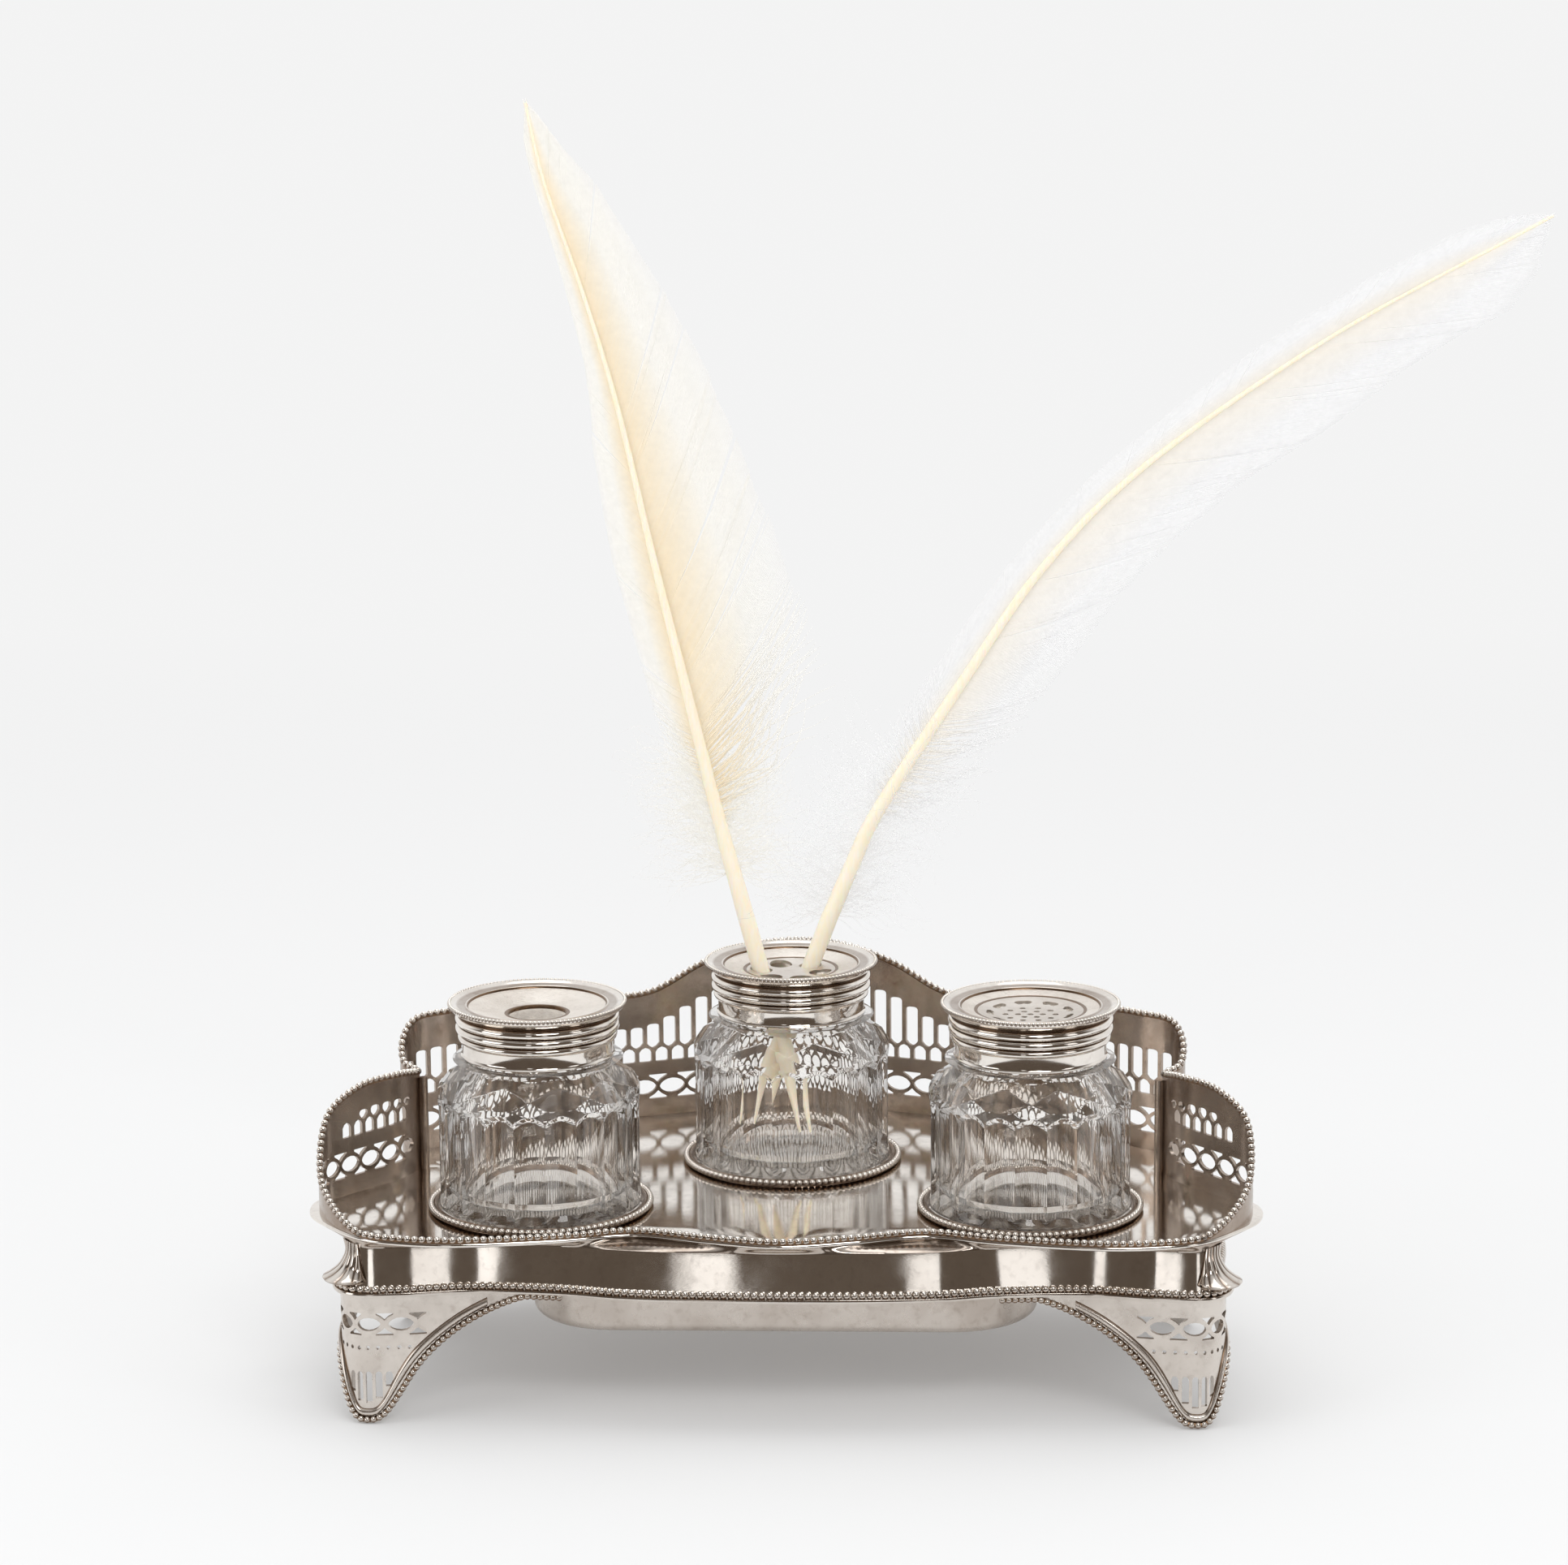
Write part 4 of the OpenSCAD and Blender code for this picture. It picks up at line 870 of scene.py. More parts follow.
def gallery_openings(path, pitch, bar, border):
    """Openings of the pierced wall in (length, height): slots with pointed feet, small openings
    with pointed heads between them, and a chain of eyes with three-cornered openings. Heights
    with no unit are in millimetres, and w is half of a slot's width."""
    along = lengths(path[:, :2])
    total, w = along[-1], (pitch - bar) / MM / 2
    count = int((total - 2 * pitch) / pitch / 2) * 2
    start = (total - count * pitch) / 2
    small_z, small_h, point = 17.4, 4.6, 1.5
    slot_low = small_z + small_h - point + bar / MM
    holes = []
    for j in range(count + 1):
        s = start + j * pitch
        high = (np.interp(s, along, path[:, 2]) - border) / MM
        if high > slot_low + 2.5:
            holes.append(polygon(s, 0, [
                (-w, slot_low + point), (-0.55 * w, slot_low + 0.5), (0, slot_low),
                (0.55 * w, slot_low + 0.5), (w, slot_low + point), (w, high - 0.8),
                (0.8 * w, high - 0.25), (0.4 * w, high), (-0.4 * w, high),
                (-0.8 * w, high - 0.25), (-w, high - 0.8)]))
        near = np.interp(s + pitch / 2, along, path[:, 2])
        if j < count and near - 0.8 * border > (small_z + small_h) * MM:
            holes.append(polygon(s + pitch / 2, 0, [
                (-w, small_z + 0.3), (-w + 0.3, small_z), (w - 0.3, small_z), (w, small_z + 0.3),
                (w, small_z + small_h - point), (0.6 * w, small_z + small_h - 0.5),
                (0, small_z + small_h), (-0.6 * w, small_z + small_h - 0.5),
                (-w, small_z + small_h - point)]))
    eyes, middle, lattice = 1.75 * pitch, 9.3, 7.8
    number = int((total - 1.2 * eyes) / eyes)
    start = (total - number * eyes) / 2
    for j in range(2 * number + 1):
        s = start + j * eyes / 2
        if np.interp(s, along, path[:, 2]) > (5.4 + lattice) * MM + border / 2:
            if j % 2 == 0:
                holes.append(eye_shape(s, middle, eyes / MM - 1.1, 0.6 * lattice))
            else:
                holes += [half_eye(s, middle, eyes / MM, lattice, up) for up in (1, -1)]
    return holes


def eye_shape(s, middle, width, height):
    """A pointed oval in a row: a sine arch above and below its long axis."""
    a = np.linspace(0, 2 * np.pi, 16, endpoint=False)
    return polygon(s, 0, np.stack([
        width / 2 * np.cos(a), middle + height / 2 * np.sin(a) * np.abs(np.sin(a)) ** 0.25], 1))


def half_eye(s, middle, pitch, height, up):
    """A three-cornered opening with bowed sides above or below the crossing of two ovals."""
    return polygon(s, 0, [
        (0, middle + up * 0.34 * height / 2), (0.13 * pitch, middle + up * 0.62 * height / 2),
        (0.31 * pitch, middle + up * 0.86 * height / 2), (0.31 * pitch, middle + up * height / 2),
        (-0.31 * pitch, middle + up * height / 2), (-0.31 * pitch, middle + up * 0.86 * height / 2),
        (-0.13 * pitch, middle + up * 0.62 * height / 2)][::up])


class INKSTAND_OT_gallery(bpy.types.Operator):
    """Makes the three pierced walls and gives the posts where they meet the gallery's silver"""

    bl_idname = "inkstand.gallery"
    bl_label = "Pierced gallery"

    def execute(self, context):
        sizes, look = context.scene.inkstand_plan, context.scene.inkstand_silver
        metal = shared("gallery_silver", silver_material, look, dull=0.68, wave=0.3)
        rows = {"back": (sizes.slot_pitch, sizes.slot_bar, sizes.border)}
        for side, (start, end) in SPANS.items():
            rim = np.maximum(0.02 * MM, EDGE[:, 2])
            path = stretch(with_z(WALL_MID, rim), start, end)
            along = lengths(path[:, :2])
            top = np.stack([along, path[:, 2]], 1)[::-1]
            low = np.stack([along, 0 * along], 1)
            place = wall_place(along, path[:, :2], stretch(EDGE_N, start, end))
            row = rows.get(side, (sizes.side_pitch, sizes.slot_bar, sizes.side_border))
            sheet = strip(np.vstack([low, top]), gallery_openings(path, *row), WALL_MESH, place,
                          WALL_T)
            add_piece(f"gallery_{side}_wall", *sheet, metal, "stand",
                      replaces=["gallery_" + side], outside=True)
        paint_nodes(metal, "post_left", "post_right")
        return {"FINISHED"}


# A foot: its height, how far it reaches from its corner, how wide its toe is, its sheet, and
# how far it stands in from the moulding's edge
FOOT_H = MOULD_LOW - FLOOR_Z
FOOT_REACH, TOE = 60 * MM, 9 * MM
FOOT_T = 1.4 * MM
FOOT_INSET = 2.2 * MM
# Where the corners lie on the moulding's edge, and how far a toe's middle lies before them
FOOT_CORNERS = {"front": CUSP - 6 * STEPS, "rear": CUSP + 3 * STEPS}
TOE_SHIFT = {"front": 4 * MM, "rear": 0.0}
BASE_LENGTHS = lengths(closed(BASE))


def foot_sweep(t, shift):
    """Height of a foot's lower edge: a round toe, then a parabola up to the moulding. The toe's
    middle lies by the shift before the corner."""
    far = np.abs(t + shift)
    u = np.clip(far / FOOT_REACH, 0, 1)
    return FOOT_H * (1 - (1 - u) ** 2) * (1 - np.exp(-(far / TOE) ** 2))


def foot_openings(reach_low, reach_high, shift):
    """Openings of a foot's panel in (distance from the corner, height over the desk): a chain
    of eyes, a row of small holes and tall slots at the toe."""
    eye_pitch, eye_z, slot_pitch, slot_top, w = 9.8, 29.6, 3.1, 15.5, 1.05
    dot_z, dot = 22.6 * MM, 1.3 * MM
    clear = 5.2 * MM
    shapes = [eye_shape(eye_pitch * (k + 0.5) * MM, eye_z, 7.6, 4.0) for k in range(-2, 2)]
    shapes += [half_eye(eye_pitch * k * MM, eye_z, 8.2, 6.6, up)
               for k in range(-2, 3) for up in (-1, 1)]
    for k in range(-6, 6):
        t = slot_pitch * (k + 0.5) * MM
        shapes.append(oval(t, dot_z, dot, dot, 8))
        low = foot_sweep(t + np.array([-w, w]) * MM, shift).max() / MM + 6
        if low < slot_top - 2:
            shapes.append(polygon(t, 0, [
                (-w, low), (w, low), (w, slot_top - 0.9), (0.6, slot_top - 0.2), (0, slot_top),
                (-0.6, slot_top - 0.2), (-w, slot_top - 0.9)]))
    return [s for s in shapes
            if s[:, 0].min() > reach_low + clear and s[:, 0].max() < reach_high - clear
            and (s[:, 1] > foot_sweep(s[:, 0], shift) + clear).all()]


def foot_border(out, normal, sweep, t):
    """The raised border of a foot: a half-round band that runs beside its swept edge, two bead
    sizes in from it. Its edges are dark: tarnish and painted shade where it meets the sheet."""
    k = np.sqrt(1 + np.gradient(sweep, t) ** 2)
    keep = sweep < FOOT_H - 6.5 * MM
    q = np.linspace(0, 1, 9)
    rise = np.r_[-0.3, -0.2 + 1.2 * np.sin(np.pi * q) ** 0.7, -0.3] * MM
    high = np.r_[0, q, 1] * 2.5 * MM + 1.95 * MM
    place = out[keep][:, None] + normal[keep][:, None] * rise[:, None]
    z = FLOOR_Z + sweep[keep][:, None] + high * k[keep][:, None]
    verts = np.concatenate([place, z[..., None]], -1)
    tarnish_and_shade = np.broadcast_to(np.r_[1, 1, 0.35, 0, 0, 0, 0, 0, 0.35, 1, 1], z.shape)
    rows, cols = z.shape
    fan = np.stack([np.zeros(cols - 2, int), np.arange(1, cols - 1), np.arange(2, cols)], 1)
    ends = np.vstack([fan[:, ::-1], fan + (rows - 1) * cols])
    return verts.reshape(-1, 3), [grid_faces(rows, cols, close_cols=True), ends], tarnish_and_shade.ravel()


class INKSTAND_OT_feet(bpy.types.Operator):
    """Makes the four folded bracket feet with their pierced panels and beaded edges"""

    bl_idname = "inkstand.feet"
    bl_label = "Bracket feet"

    def execute(self, context):
        sizes, look = context.scene.inkstand_plan, context.scene.inkstand_silver
        metal = shared("foot_silver", silver_material, look, dull=0.26, wave=0.3, polish=2.5)
        shine = shared("bead_silver", silver_material, look, dull=0.02, wave=0.0)
        front, rear = (BASE_LENGTHS[corner] for corner in FOOT_CORNERS.values())
        middle = (front + rear) / 2
        reach = {"front": (-FOOT_REACH, middle - FOOT_T - front),
                 "rear": (middle + FOOT_T - rear, FOOT_REACH)}
        for end, corner in FOOT_CORNERS.items():
            (low, high), shift = reach[end], TOE_SHIFT[end]
            t = np.arange(low, high, 0.8 * MM)
            here = BASE_LENGTHS[corner] + t
            face = between(here, BASE_LENGTHS, closed(BASE[:, :2]))
            normal = unit(between(here, BASE_LENGTHS, closed(BASE_N)))
            sweep = np.minimum(foot_sweep(t, shift), FOOT_H - 0.6 * MM)
            outline = np.vstack([np.stack([t, sweep], 1), np.stack([t, 0 * t + FOOT_H], 1)[::-1]])
            place = wall_place(t, face - normal * (FOOT_INSET + FOOT_T / 2), normal, FLOOR_Z)
            sheet = strip(outline, foot_openings(low, high, shift), FOOT_MESH, place, FOOT_T)
            r = sizes.foot_bead_radius
            out = face - normal * (FOOT_INSET - 0.6 * MM)
            line = with_z(out, FLOOR_Z + np.minimum(FOOT_H - r, sweep + r + 0.2 * MM))
            hint = with_z(normal, 0.0)
            border = foot_border(face - normal * FOOT_INSET, normal, sweep, t)
            wall = joined([sheet, border[:2]])
            tarnish_and_shade = np.r_[np.zeros(len(sheet[0])), border[2]]
            core = tube(line - hint * FOOT_CORE_BACK * r, (0, 0, 1.0), FOOT_CORE_R * r)
            for side, sign in (("right", 1), ("left", -1)):
                flip = np.array([sign, 1, 1])
                add_piece(f"foot_{end}_{side}_panel", wall[0] * flip, wall[1], metal, "stand",
                          replaces=[f"foot_{end}_{side}"], outside=True, values={"tarnish_and_shade": tarnish_and_shade})
                beads, dark = beads_along(line * flip, r)
                # painted shade: the core behind the beads is made fully dark, and the beads darken
                # towards their undersides
                add_piece(f"foot_{end}_{side}_beads", *joined([(core[0] * flip, core[1]), beads]),
                          shine, "stand", replaces=[f"foot_bead_{end}_{side}"], outside=True,
                          values={"tarnish_and_shade": np.r_[np.ones(len(core[0])), dark]})
        return {"FINISHED"}


LEAF_CORNERS = {"front": CUSP - 5.5 * STEPS, "rear": CUSP + 2.6 * STEPS}


class INKSTAND_OT_leaves(bpy.types.Operator):
    """Makes the ridged leaves on the corners of the hollow band"""

    bl_idname = "inkstand.leaves"
    bl_label = "Corner leaves"

    def execute(self, context):
        sizes, look = context.scene.inkstand_plan, context.scene.inkstand_silver
        metal = shared("leaf_silver", silver_material, look, dull=0.2, wave=0.1)
        for end, corner in LEAF_CORNERS.items():
            verts, faces, tarnish_and_shade = self.leaf(corner, sizes.cove_bow)
            for side, sign in (("right", 1), ("left", -1)):
                add_piece(f"leaf_{end}_{side}_blade", verts * (sign, 1, 1), faces, metal, "stand",
                          replaces=[f"leaf_{end}_{side}"], outside=True, values={"tarnish_and_shade": tarnish_and_shade})
        return {"FINISHED"}

    def leaf(self, corner, bow):
        """A fan of six ribs. Across it u runs from -1 to 1; its section at each u goes from
        the standing tip, up the ribbed face to the head, and back inside the band. The tip
        stands out by the reach times 1 - u squared, a rib by half a millimetre. Half of its
        width goes from wide at the foot to narrow at the head."""
        reach, t, wide, narrow = 7, 0.9, 0.95, 0.35
        u = np.linspace(-1, 1, 97)[:, None]
        swell = 1 - u ** 2
        rib = np.abs(np.sin(3 * np.pi * (u + 1))) ** 0.6
        way = cove_point((corner + wide * STEPS * u[:, 0]), 0 * u[:, 0], bow)[1]
        way = with_z(unit(way), 0.0)[:, None]

        def at(share, out):
            """The band's face at a share of its height, moved out along the leaf's way."""
            f = share + 0 * u
            index = corner + u * (wide * (1 - f) + narrow * f) * STEPS
            return cove_point(index[:, 0], f[:, 0], bow)[0][:, None] + way * (out * MM)[..., None]

        outer = np.stack([at(0.2, reach * swell + 0.3)[:, 0] + (0, 0, 0.5 * t * MM),
                          at(0.3, 4.1 * swell + t)[:, 0], at(0.45, t * (1 + 1.8 * swell))[:, 0],
                          at(0.7, t * (1 + swell / 2))[:, 0], at(0.92, t / 2 + 0 * u)[:, 0]])
        outer = smooth_pieces_of(outer)
        keep = np.linspace(0, 1, len(outer))[:, None]
        height = 0.55 * np.clip(1.4 - keep, 0, 1) * np.minimum(1, 8 * keep + 0.3)
        outer = outer + (way[:, 0] * rib * MM)[None] * height[..., None]
        inner = np.stack([at(f, -0.3 + 0 * u)[:, 0] for f in (0.9, 0.6, 0.32)]
                         + [at(0.2, reach * swell)[:, 0] - (0, 0, 0.2 * MM)])
        loop = np.concatenate([outer, inner]).transpose(1, 0, 2)
        # darker grooves between the ribs and a darker back: tarnish and painted shade
        tarnish_and_shade = np.concatenate([np.broadcast_to((0.75 * (1 - rib)).T, outer.shape[:2]),
                               np.full(inner.shape[:2], 0.6)]).T
        rows, cols = loop.shape[:2]
        first = np.arange(cols)[None, ::-1]
        return loop.reshape(-1, 3), [grid_faces(rows, cols, close_cols=True), first,
                                     first[:, ::-1] + (rows - 1) * cols], tarnish_and_shade.ravel()


def smooth_pieces_of(rows):
    """Rows of points joined by Catmull-Rom curves, six steps from each row to the next."""
    flat = rows.reshape(len(rows), -1)
    return smooth_run(flat, 6).reshape(-1, *rows.shape[1:])


BOTTLES = {"ink": "ink_bottle", "quill": "quill_pot", "pounce": "pounce_bottle"}
BODIES = {"ink": ("ink_well", "ink_lid"), "quill": ("quill_holder", "quill_lid"),
          "pounce": ("pounce_pot", "pounce_lid")}
# Points round a turned piece and round a bottle
TURNED_SIDES, GLASS_SIDES = 160, 480
# Heights of a bottle's foot, of its well's floor and of its lip in millimetres, and the radius
# of the hole in the middle of the foot and floor, which one point closes
GLASS_FOOT, WELL_FLOOR, GLASS_LIP, PIN = 0.1, 4.5, 57.1, 0.02
# Rows of beads round a ring and round a cap's rim: radius and height of the row, bead radius
RING_BEADS = (32.05 * MM, 1.3 * MM, 1.0 * MM)
RIM_BEADS = (25.45 * MM, 61.45 * MM, 0.62 * MM)
# Painted shade on a ring's seat, the band under its beads
SEAT_SHADE = 0.75


def axis_of(name):
    """Plan place of a bottle's axis: the middle of its solid's box."""
    low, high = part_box(BOTTLES[name])
    return (low[0] + high[0]) / 2, (low[1] + high[1]) / 2


def bead_circle(centre, radius, z, bead, pitch=BEAD_PITCH):
    """A row of beads on a level circle, and their painted shade and tarnish."""
    a = np.linspace(0, 2 * np.pi, 240, endpoint=False)
    line = np.stack([centre[0] + radius * np.cos(a), centre[1] + radius * np.sin(a), 0 * a + z], 1)
    return beads_along(line, bead, ring=True, pitch=pitch)


def glass_radius(angle, z):
    """Outer radius of a bottle in millimetres at an angle in degrees and a height: a turned body
    with a rounded heel and shoulder, cut by twenty round flutes with arched ends and by three
    rows of flat facets on the shoulder. A facet is a plane through (r0, z0), tilted from
    upright, so its radius at the angle d from its middle is
    (r0 cos t + (z0 - z) sin t) / (cos t cos d)."""
    body_r, neck_r, heel_r, heel = 29.45, 21.2, 27.85, 1.6
    shoulder_z, shoulder_h, neck_z = 38.1, 7.6, 46.2
    flute, facet = 360 / 20, 360 / 10
    arc = np.clip((z - shoulder_z) / shoulder_h, 0, 1)
    body = body_r - 7.25 * (1 - np.sqrt(1 - arc ** 2))
    body = np.minimum(body, heel_r + np.clip(z - GLASS_FOOT, 0, heel))
    side = (angle / flute + 0.5) % 1 - 0.5
    end = 34.6 - 2.2 * (2 * side) ** 2
    run = np.clip((end - z) / 1.6, 0, 1) * np.clip((z - 2.6) / 2.4, 0, 1)
    body = body - run * (0.25 + 1.15 * (1 - (2 * side) ** 2))
    for turn, tilt, r0, z0 in ((0, 42, 29.35, 36.1), (18, 60, 28.0, 38.9), (18, 14, 29.2, 35.6)):
        d = np.radians((angle - turn + facet / 2) % facet - facet / 2)
        t = math.radians(tilt)
        cut = (r0 * math.cos(t) + (z0 - z) * math.sin(t)) / (math.cos(t) * np.cos(d))
        body = np.where(z < neck_z - 1, np.minimum(body, cut), body)
    return np.where(z > neck_z, neck_r, np.maximum(body, neck_r))


class INKSTAND_OT_bottles(bpy.types.Operator):
    """Makes the rings, the cut glass bottles and their collars"""

    bl_idname = "inkstand.bottles"
    bl_label = "Bottles"

    def execute(self, context):
        look = context.scene.inkstand_silver
        metal = shared("ring_silver", silver_material, look, dull=0.05, wave=0.05)
        glass = shared("bottle_glass", glass_material, context.scene.inkstand_glass)
        seat = np.array([(29.9, 0), (31.6, 0), (31.5, 0.5), (31.0, 1.9), (30.6, 2.1),
                         (30.1, 1.8), (29.9, 1.3)]) * MM
        band = np.array([(21.2, 46.0), (21.9, 46.0), (22.25, 46.2), (22.3, 46.5), (21.95, 46.9),
                         (21.9, 47.2), (21.95, 49.4), (22.05, 50.4), (22.5, 50.65), (22.9, 51.0),
                         (23.13, 51.4), (23.2, 51.75), (23.13, 52.1), (22.9, 52.5), (22.5, 52.8),
                         (22.1, 52.9), (21.9, 52.9), (21.9, 57.1), (21.2, 57.1)]) * MM
        for name in BOTTLES:
            centre = axis_of(name)
            beads, tarnish_and_shade = bead_circle(centre, *RING_BEADS)
            foot = turned(seat, TURNED_SIDES, centre)
            add_piece(f"{name}_ring_beads", *joined([foot, beads]), metal, "stand",
                      replaces=[f"{name}_ring"], outside=True,
                      values={"tarnish_and_shade": np.r_[np.full(len(foot[0]), SEAT_SHADE), tarnish_and_shade]})
            add_piece(f"{name}_neck_band", *turned(band, TURNED_SIDES, centre), metal,
                      BODIES[name][0], replaces=[f"{name}_collar"], outside=True)
            add_piece(f"{name}_glass", *self.bottle(centre), glass, BODIES[name][0],
                      replaces=[BOTTLES[name]], slot="cut_glass", outside=True, sharp=14.0)
        return {"FINISHED"}

    def bottle(self, centre):
        """One closed skin: the cut outer face from the foot to the lip, then the throat and the
        well from the lip to the floor."""
        z = np.r_[0.1, 0.5, 1.0, 1.7, 2.4, np.linspace(3, 5.4, 5), np.linspace(7, 30, 9),
                  np.linspace(31, 46.2, 62), 46.3, GLASS_LIP]
        angle = np.linspace(0, 360, GLASS_SIDES, endpoint=False)[:, None]
        outer = glass_radius(angle, z[None])
        inner = [(17.6, GLASS_LIP), (17.6, 44.1), (21.0, 38.1), (24.0, 33.0), (24.45, 32.1),
                 (24.45, 7.6), (23.6, 5.6), (21.45, 4.7), (12.0, WELL_FLOOR), (PIN, WELL_FLOOR)]
        r = np.hstack([np.full_like(angle, PIN), outer,
                       np.tile([q[0] for q in inner], (GLASS_SIDES, 1))])
        high = np.r_[GLASS_FOOT, z, [q[1] for q in inner]]
        a = np.radians(angle)
        verts = np.stack([r * np.cos(a), r * np.sin(a), np.broadcast_to(high, r.shape)], -1) * MM
        middle = np.array([(0, 0, GLASS_FOOT), (0, 0, WELL_FLOOR)]) * MM
        rows, cols = r.shape
        k = np.arange(rows)
        start = np.stack([np.full(rows, rows * cols), k * cols, (k + 1) % rows * cols], 1)
        end = np.stack([np.full(rows, rows * cols + 1), (k + 1) % rows * cols + cols - 1,
                        k * cols + cols - 1], 1)
        verts = np.vstack([verts.reshape(-1, 3), middle]) + (*centre, 0)
        return verts, [grid_faces(rows, cols, close_rows=True), np.vstack([start, end])]


# A cap in millimetres: its foot, its top, how far the dish's edge lies under that, and the
# dish's depth, radius and width of its cone
CAP_FOOT, CAP_TOP, DISH_DROP, DISH_DEPTH, DISH_R, DISH_CONE = 52.9, 62.2, 1.8, 2.4, 20.2, 11
# Middles of a cap's two reeds over its foot, and their points from foot to top
REEDS, REED_POINTS = (1.4, 4.1), 13


def dish_height(r):
    """Height of a cap's dish in millimetres: flat in the middle, then a cone up to its edge."""
    return CAP_TOP - DISH_DROP - DISH_DEPTH * np.minimum(1, (DISH_R - r) / DISH_CONE)


def cap_profile(hole):
    """Half section of a cap in (radius, height), how matted it is and how tarnished and shaded:
    reeded skirt, flared rim, a polished ring and the dish down to the hole. The third number of
    a point is its tarnish and painted shade; the reeds' grooves, the step inside the rim, the
    hole's edge and the inside are painted dark as shade."""
    a = np.linspace(-0.5 * np.pi, 0.5 * np.pi, REED_POINTS)
    groove_shade = np.r_[1, 0.5, np.zeros(REED_POINTS - 4), 0.5, 1]
    line = [(22.2, CAP_FOOT, 1), (22.95, CAP_FOOT + 0.05, 1)]
    line += [(22.65 + 1.2 * np.cos(q), CAP_FOOT + middle + 1.22 * np.sin(q), tarnish_and_shade)
             for middle in REEDS for q, tarnish_and_shade in zip(a, groove_shade)]
    line += [(22.7, 58.5, 0.9), (23.2, 58.75, 0.9), (23.8, 59.2, 0), (24.6, 59.8, 0),
             (25.3, 60.3, 0), (25.7, 60.9, 0), (25.75, 61.3, 0), (25.5, 61.6, 0),
             (24.9, 61.75, 0), (24.3, 61.6, 0), (23.7, 61.2, 0), (23.0, 61.0, 0.5),
             (21.2, 60.75, 0.5), (20.9, 60.95, 0.5), (20.5, 61.0, 0), (20.2, 60.8, 1),
             (20.0, 60.35, 1)]
    start = len(line)
    line += [(r, dish_height(r), 0) for r in np.r_[19.85, np.linspace(19.4, hole + 1.2, 7)]]
    end = len(line)
    lip, under = dish_height(hole), dish_height(hole + 1.2) - 0.9
    line += [(hole + 1.0, lip + 0.15, 0.9), (hole + 0.6, lip + 0.2, 0.9),
             (hole + 0.2, lip + 0.12, 0.9), (hole, lip - 0.1, 0.9), (hole, lip - 0.9, 0.9),
             (hole + 1.2, under, 0.9), (20.2, 59.5, 0.9), (22.2, 59.8, 0.9)]
    line, grain = np.array(line), np.zeros(len(line))
    grain[start:end] = 1
    return line[:, :2] * MM, grain, line[:, 2]


def cap_disc(centre, radius, holes):
    """The middle of a cap's top with its openings, as deep as the dish is there."""
    a = np.linspace(0, 2 * np.pi, 96, endpoint=False)
    outline = radius * np.stack([np.cos(a), np.sin(a)], 1)
    flat, faces = triangulate(outline, holes, CAP_MESH)
    z = dish_height(np.linalg.norm(flat, axis=1) / MM) * MM
    top, low = (with_z(flat, level) + (*centre, 0) for level in (z, z - 0.85 * MM))
    return thicken(top, low, faces)


def petals():
    """Round holes in rings and nine leaf-shaped openings round them, for the pounce cap."""
    shapes = []
    for count, far in ((1, 0), (6, 3.6 * MM), (10, 7.2 * MM)):
        for a in 2 * np.pi * np.arange(count) / count:
            shapes.append(oval(far * math.cos(a), far * math.sin(a), 1.8 * MM, 1.8 * MM))
    leaf = np.array([(0, -2.7), (0.8, -2.2), (1.1, -1.35), (1.1, 1.35), (0.8, 2.2), (0, 2.7),
                     (-1.0, 1.7), (-1.0, 0.9), (-0.55, 0), (-1.0, -0.9), (-1.0, -1.7)])
    for a in np.radians(40 * (np.arange(9) + 0.5)):
        x, y = leaf[:, 0] + 11.6, leaf[:, 1]
        shapes.append(np.stack([x * math.cos(a) - y * math.sin(a),
                                x * math.sin(a) + y * math.cos(a)], 1) * MM)
    return shapes


class INKSTAND_OT_caps(bpy.types.Operator):
    """Makes the three dished caps with their reeds, beads and openings"""

    bl_idname = "inkstand.caps"
    bl_label = "Caps"

    def execute(self, context):
        look = context.scene.inkstand_silver
        metal = shared("cap_silver", silver_material, look, dull=0.03, wave=0.05)
        holes = [oval(9 * MM * math.cos(a), 9 * MM * math.sin(a), 6.8 * MM, 6.8 * MM, 24)
                 for a in np.radians(60 * np.arange(6) - 8)]
        inner = {"ink": (8.4, None), "quill": (13.2, holes), "pounce": (15.2, petals())}
        for name in BOTTLES:
            centre = axis_of(name)
            hole, openings = inner[name]
            profile, grain, dirt_and_shade = cap_profile(hole)
            parts = [turned(profile, TURNED_SIDES, centre)]
            grain, dirt_and_shade = [np.tile(grain, TURNED_SIDES)], [np.tile(dirt_and_shade, TURNED_SIDES)]
            if openings:
                parts.append(cap_disc(centre, (hole + 0.3) * MM, openings))
                grain.append(np.full(len(parts[-1][0]), 0.5))
                dirt_and_shade.append(np.full(len(parts[-1][0]), 0.1))
            beads, tarnish_and_shade = bead_circle(centre, *RIM_BEADS, pitch=1.98)
            parts.append(beads)
            add_piece(f"{name}_cap_shell", *joined(parts), metal, BODIES[name][1],
                      replaces=[f"{name}_cap"], outside=True,
                      values={"grain": np.r_[np.concatenate(grain), 0 * tarnish_and_shade],
                              "tarnish_and_shade": np.r_[np.concatenate(dirt_and_shade), tarnish_and_shade]})
        return {"FINISHED"}


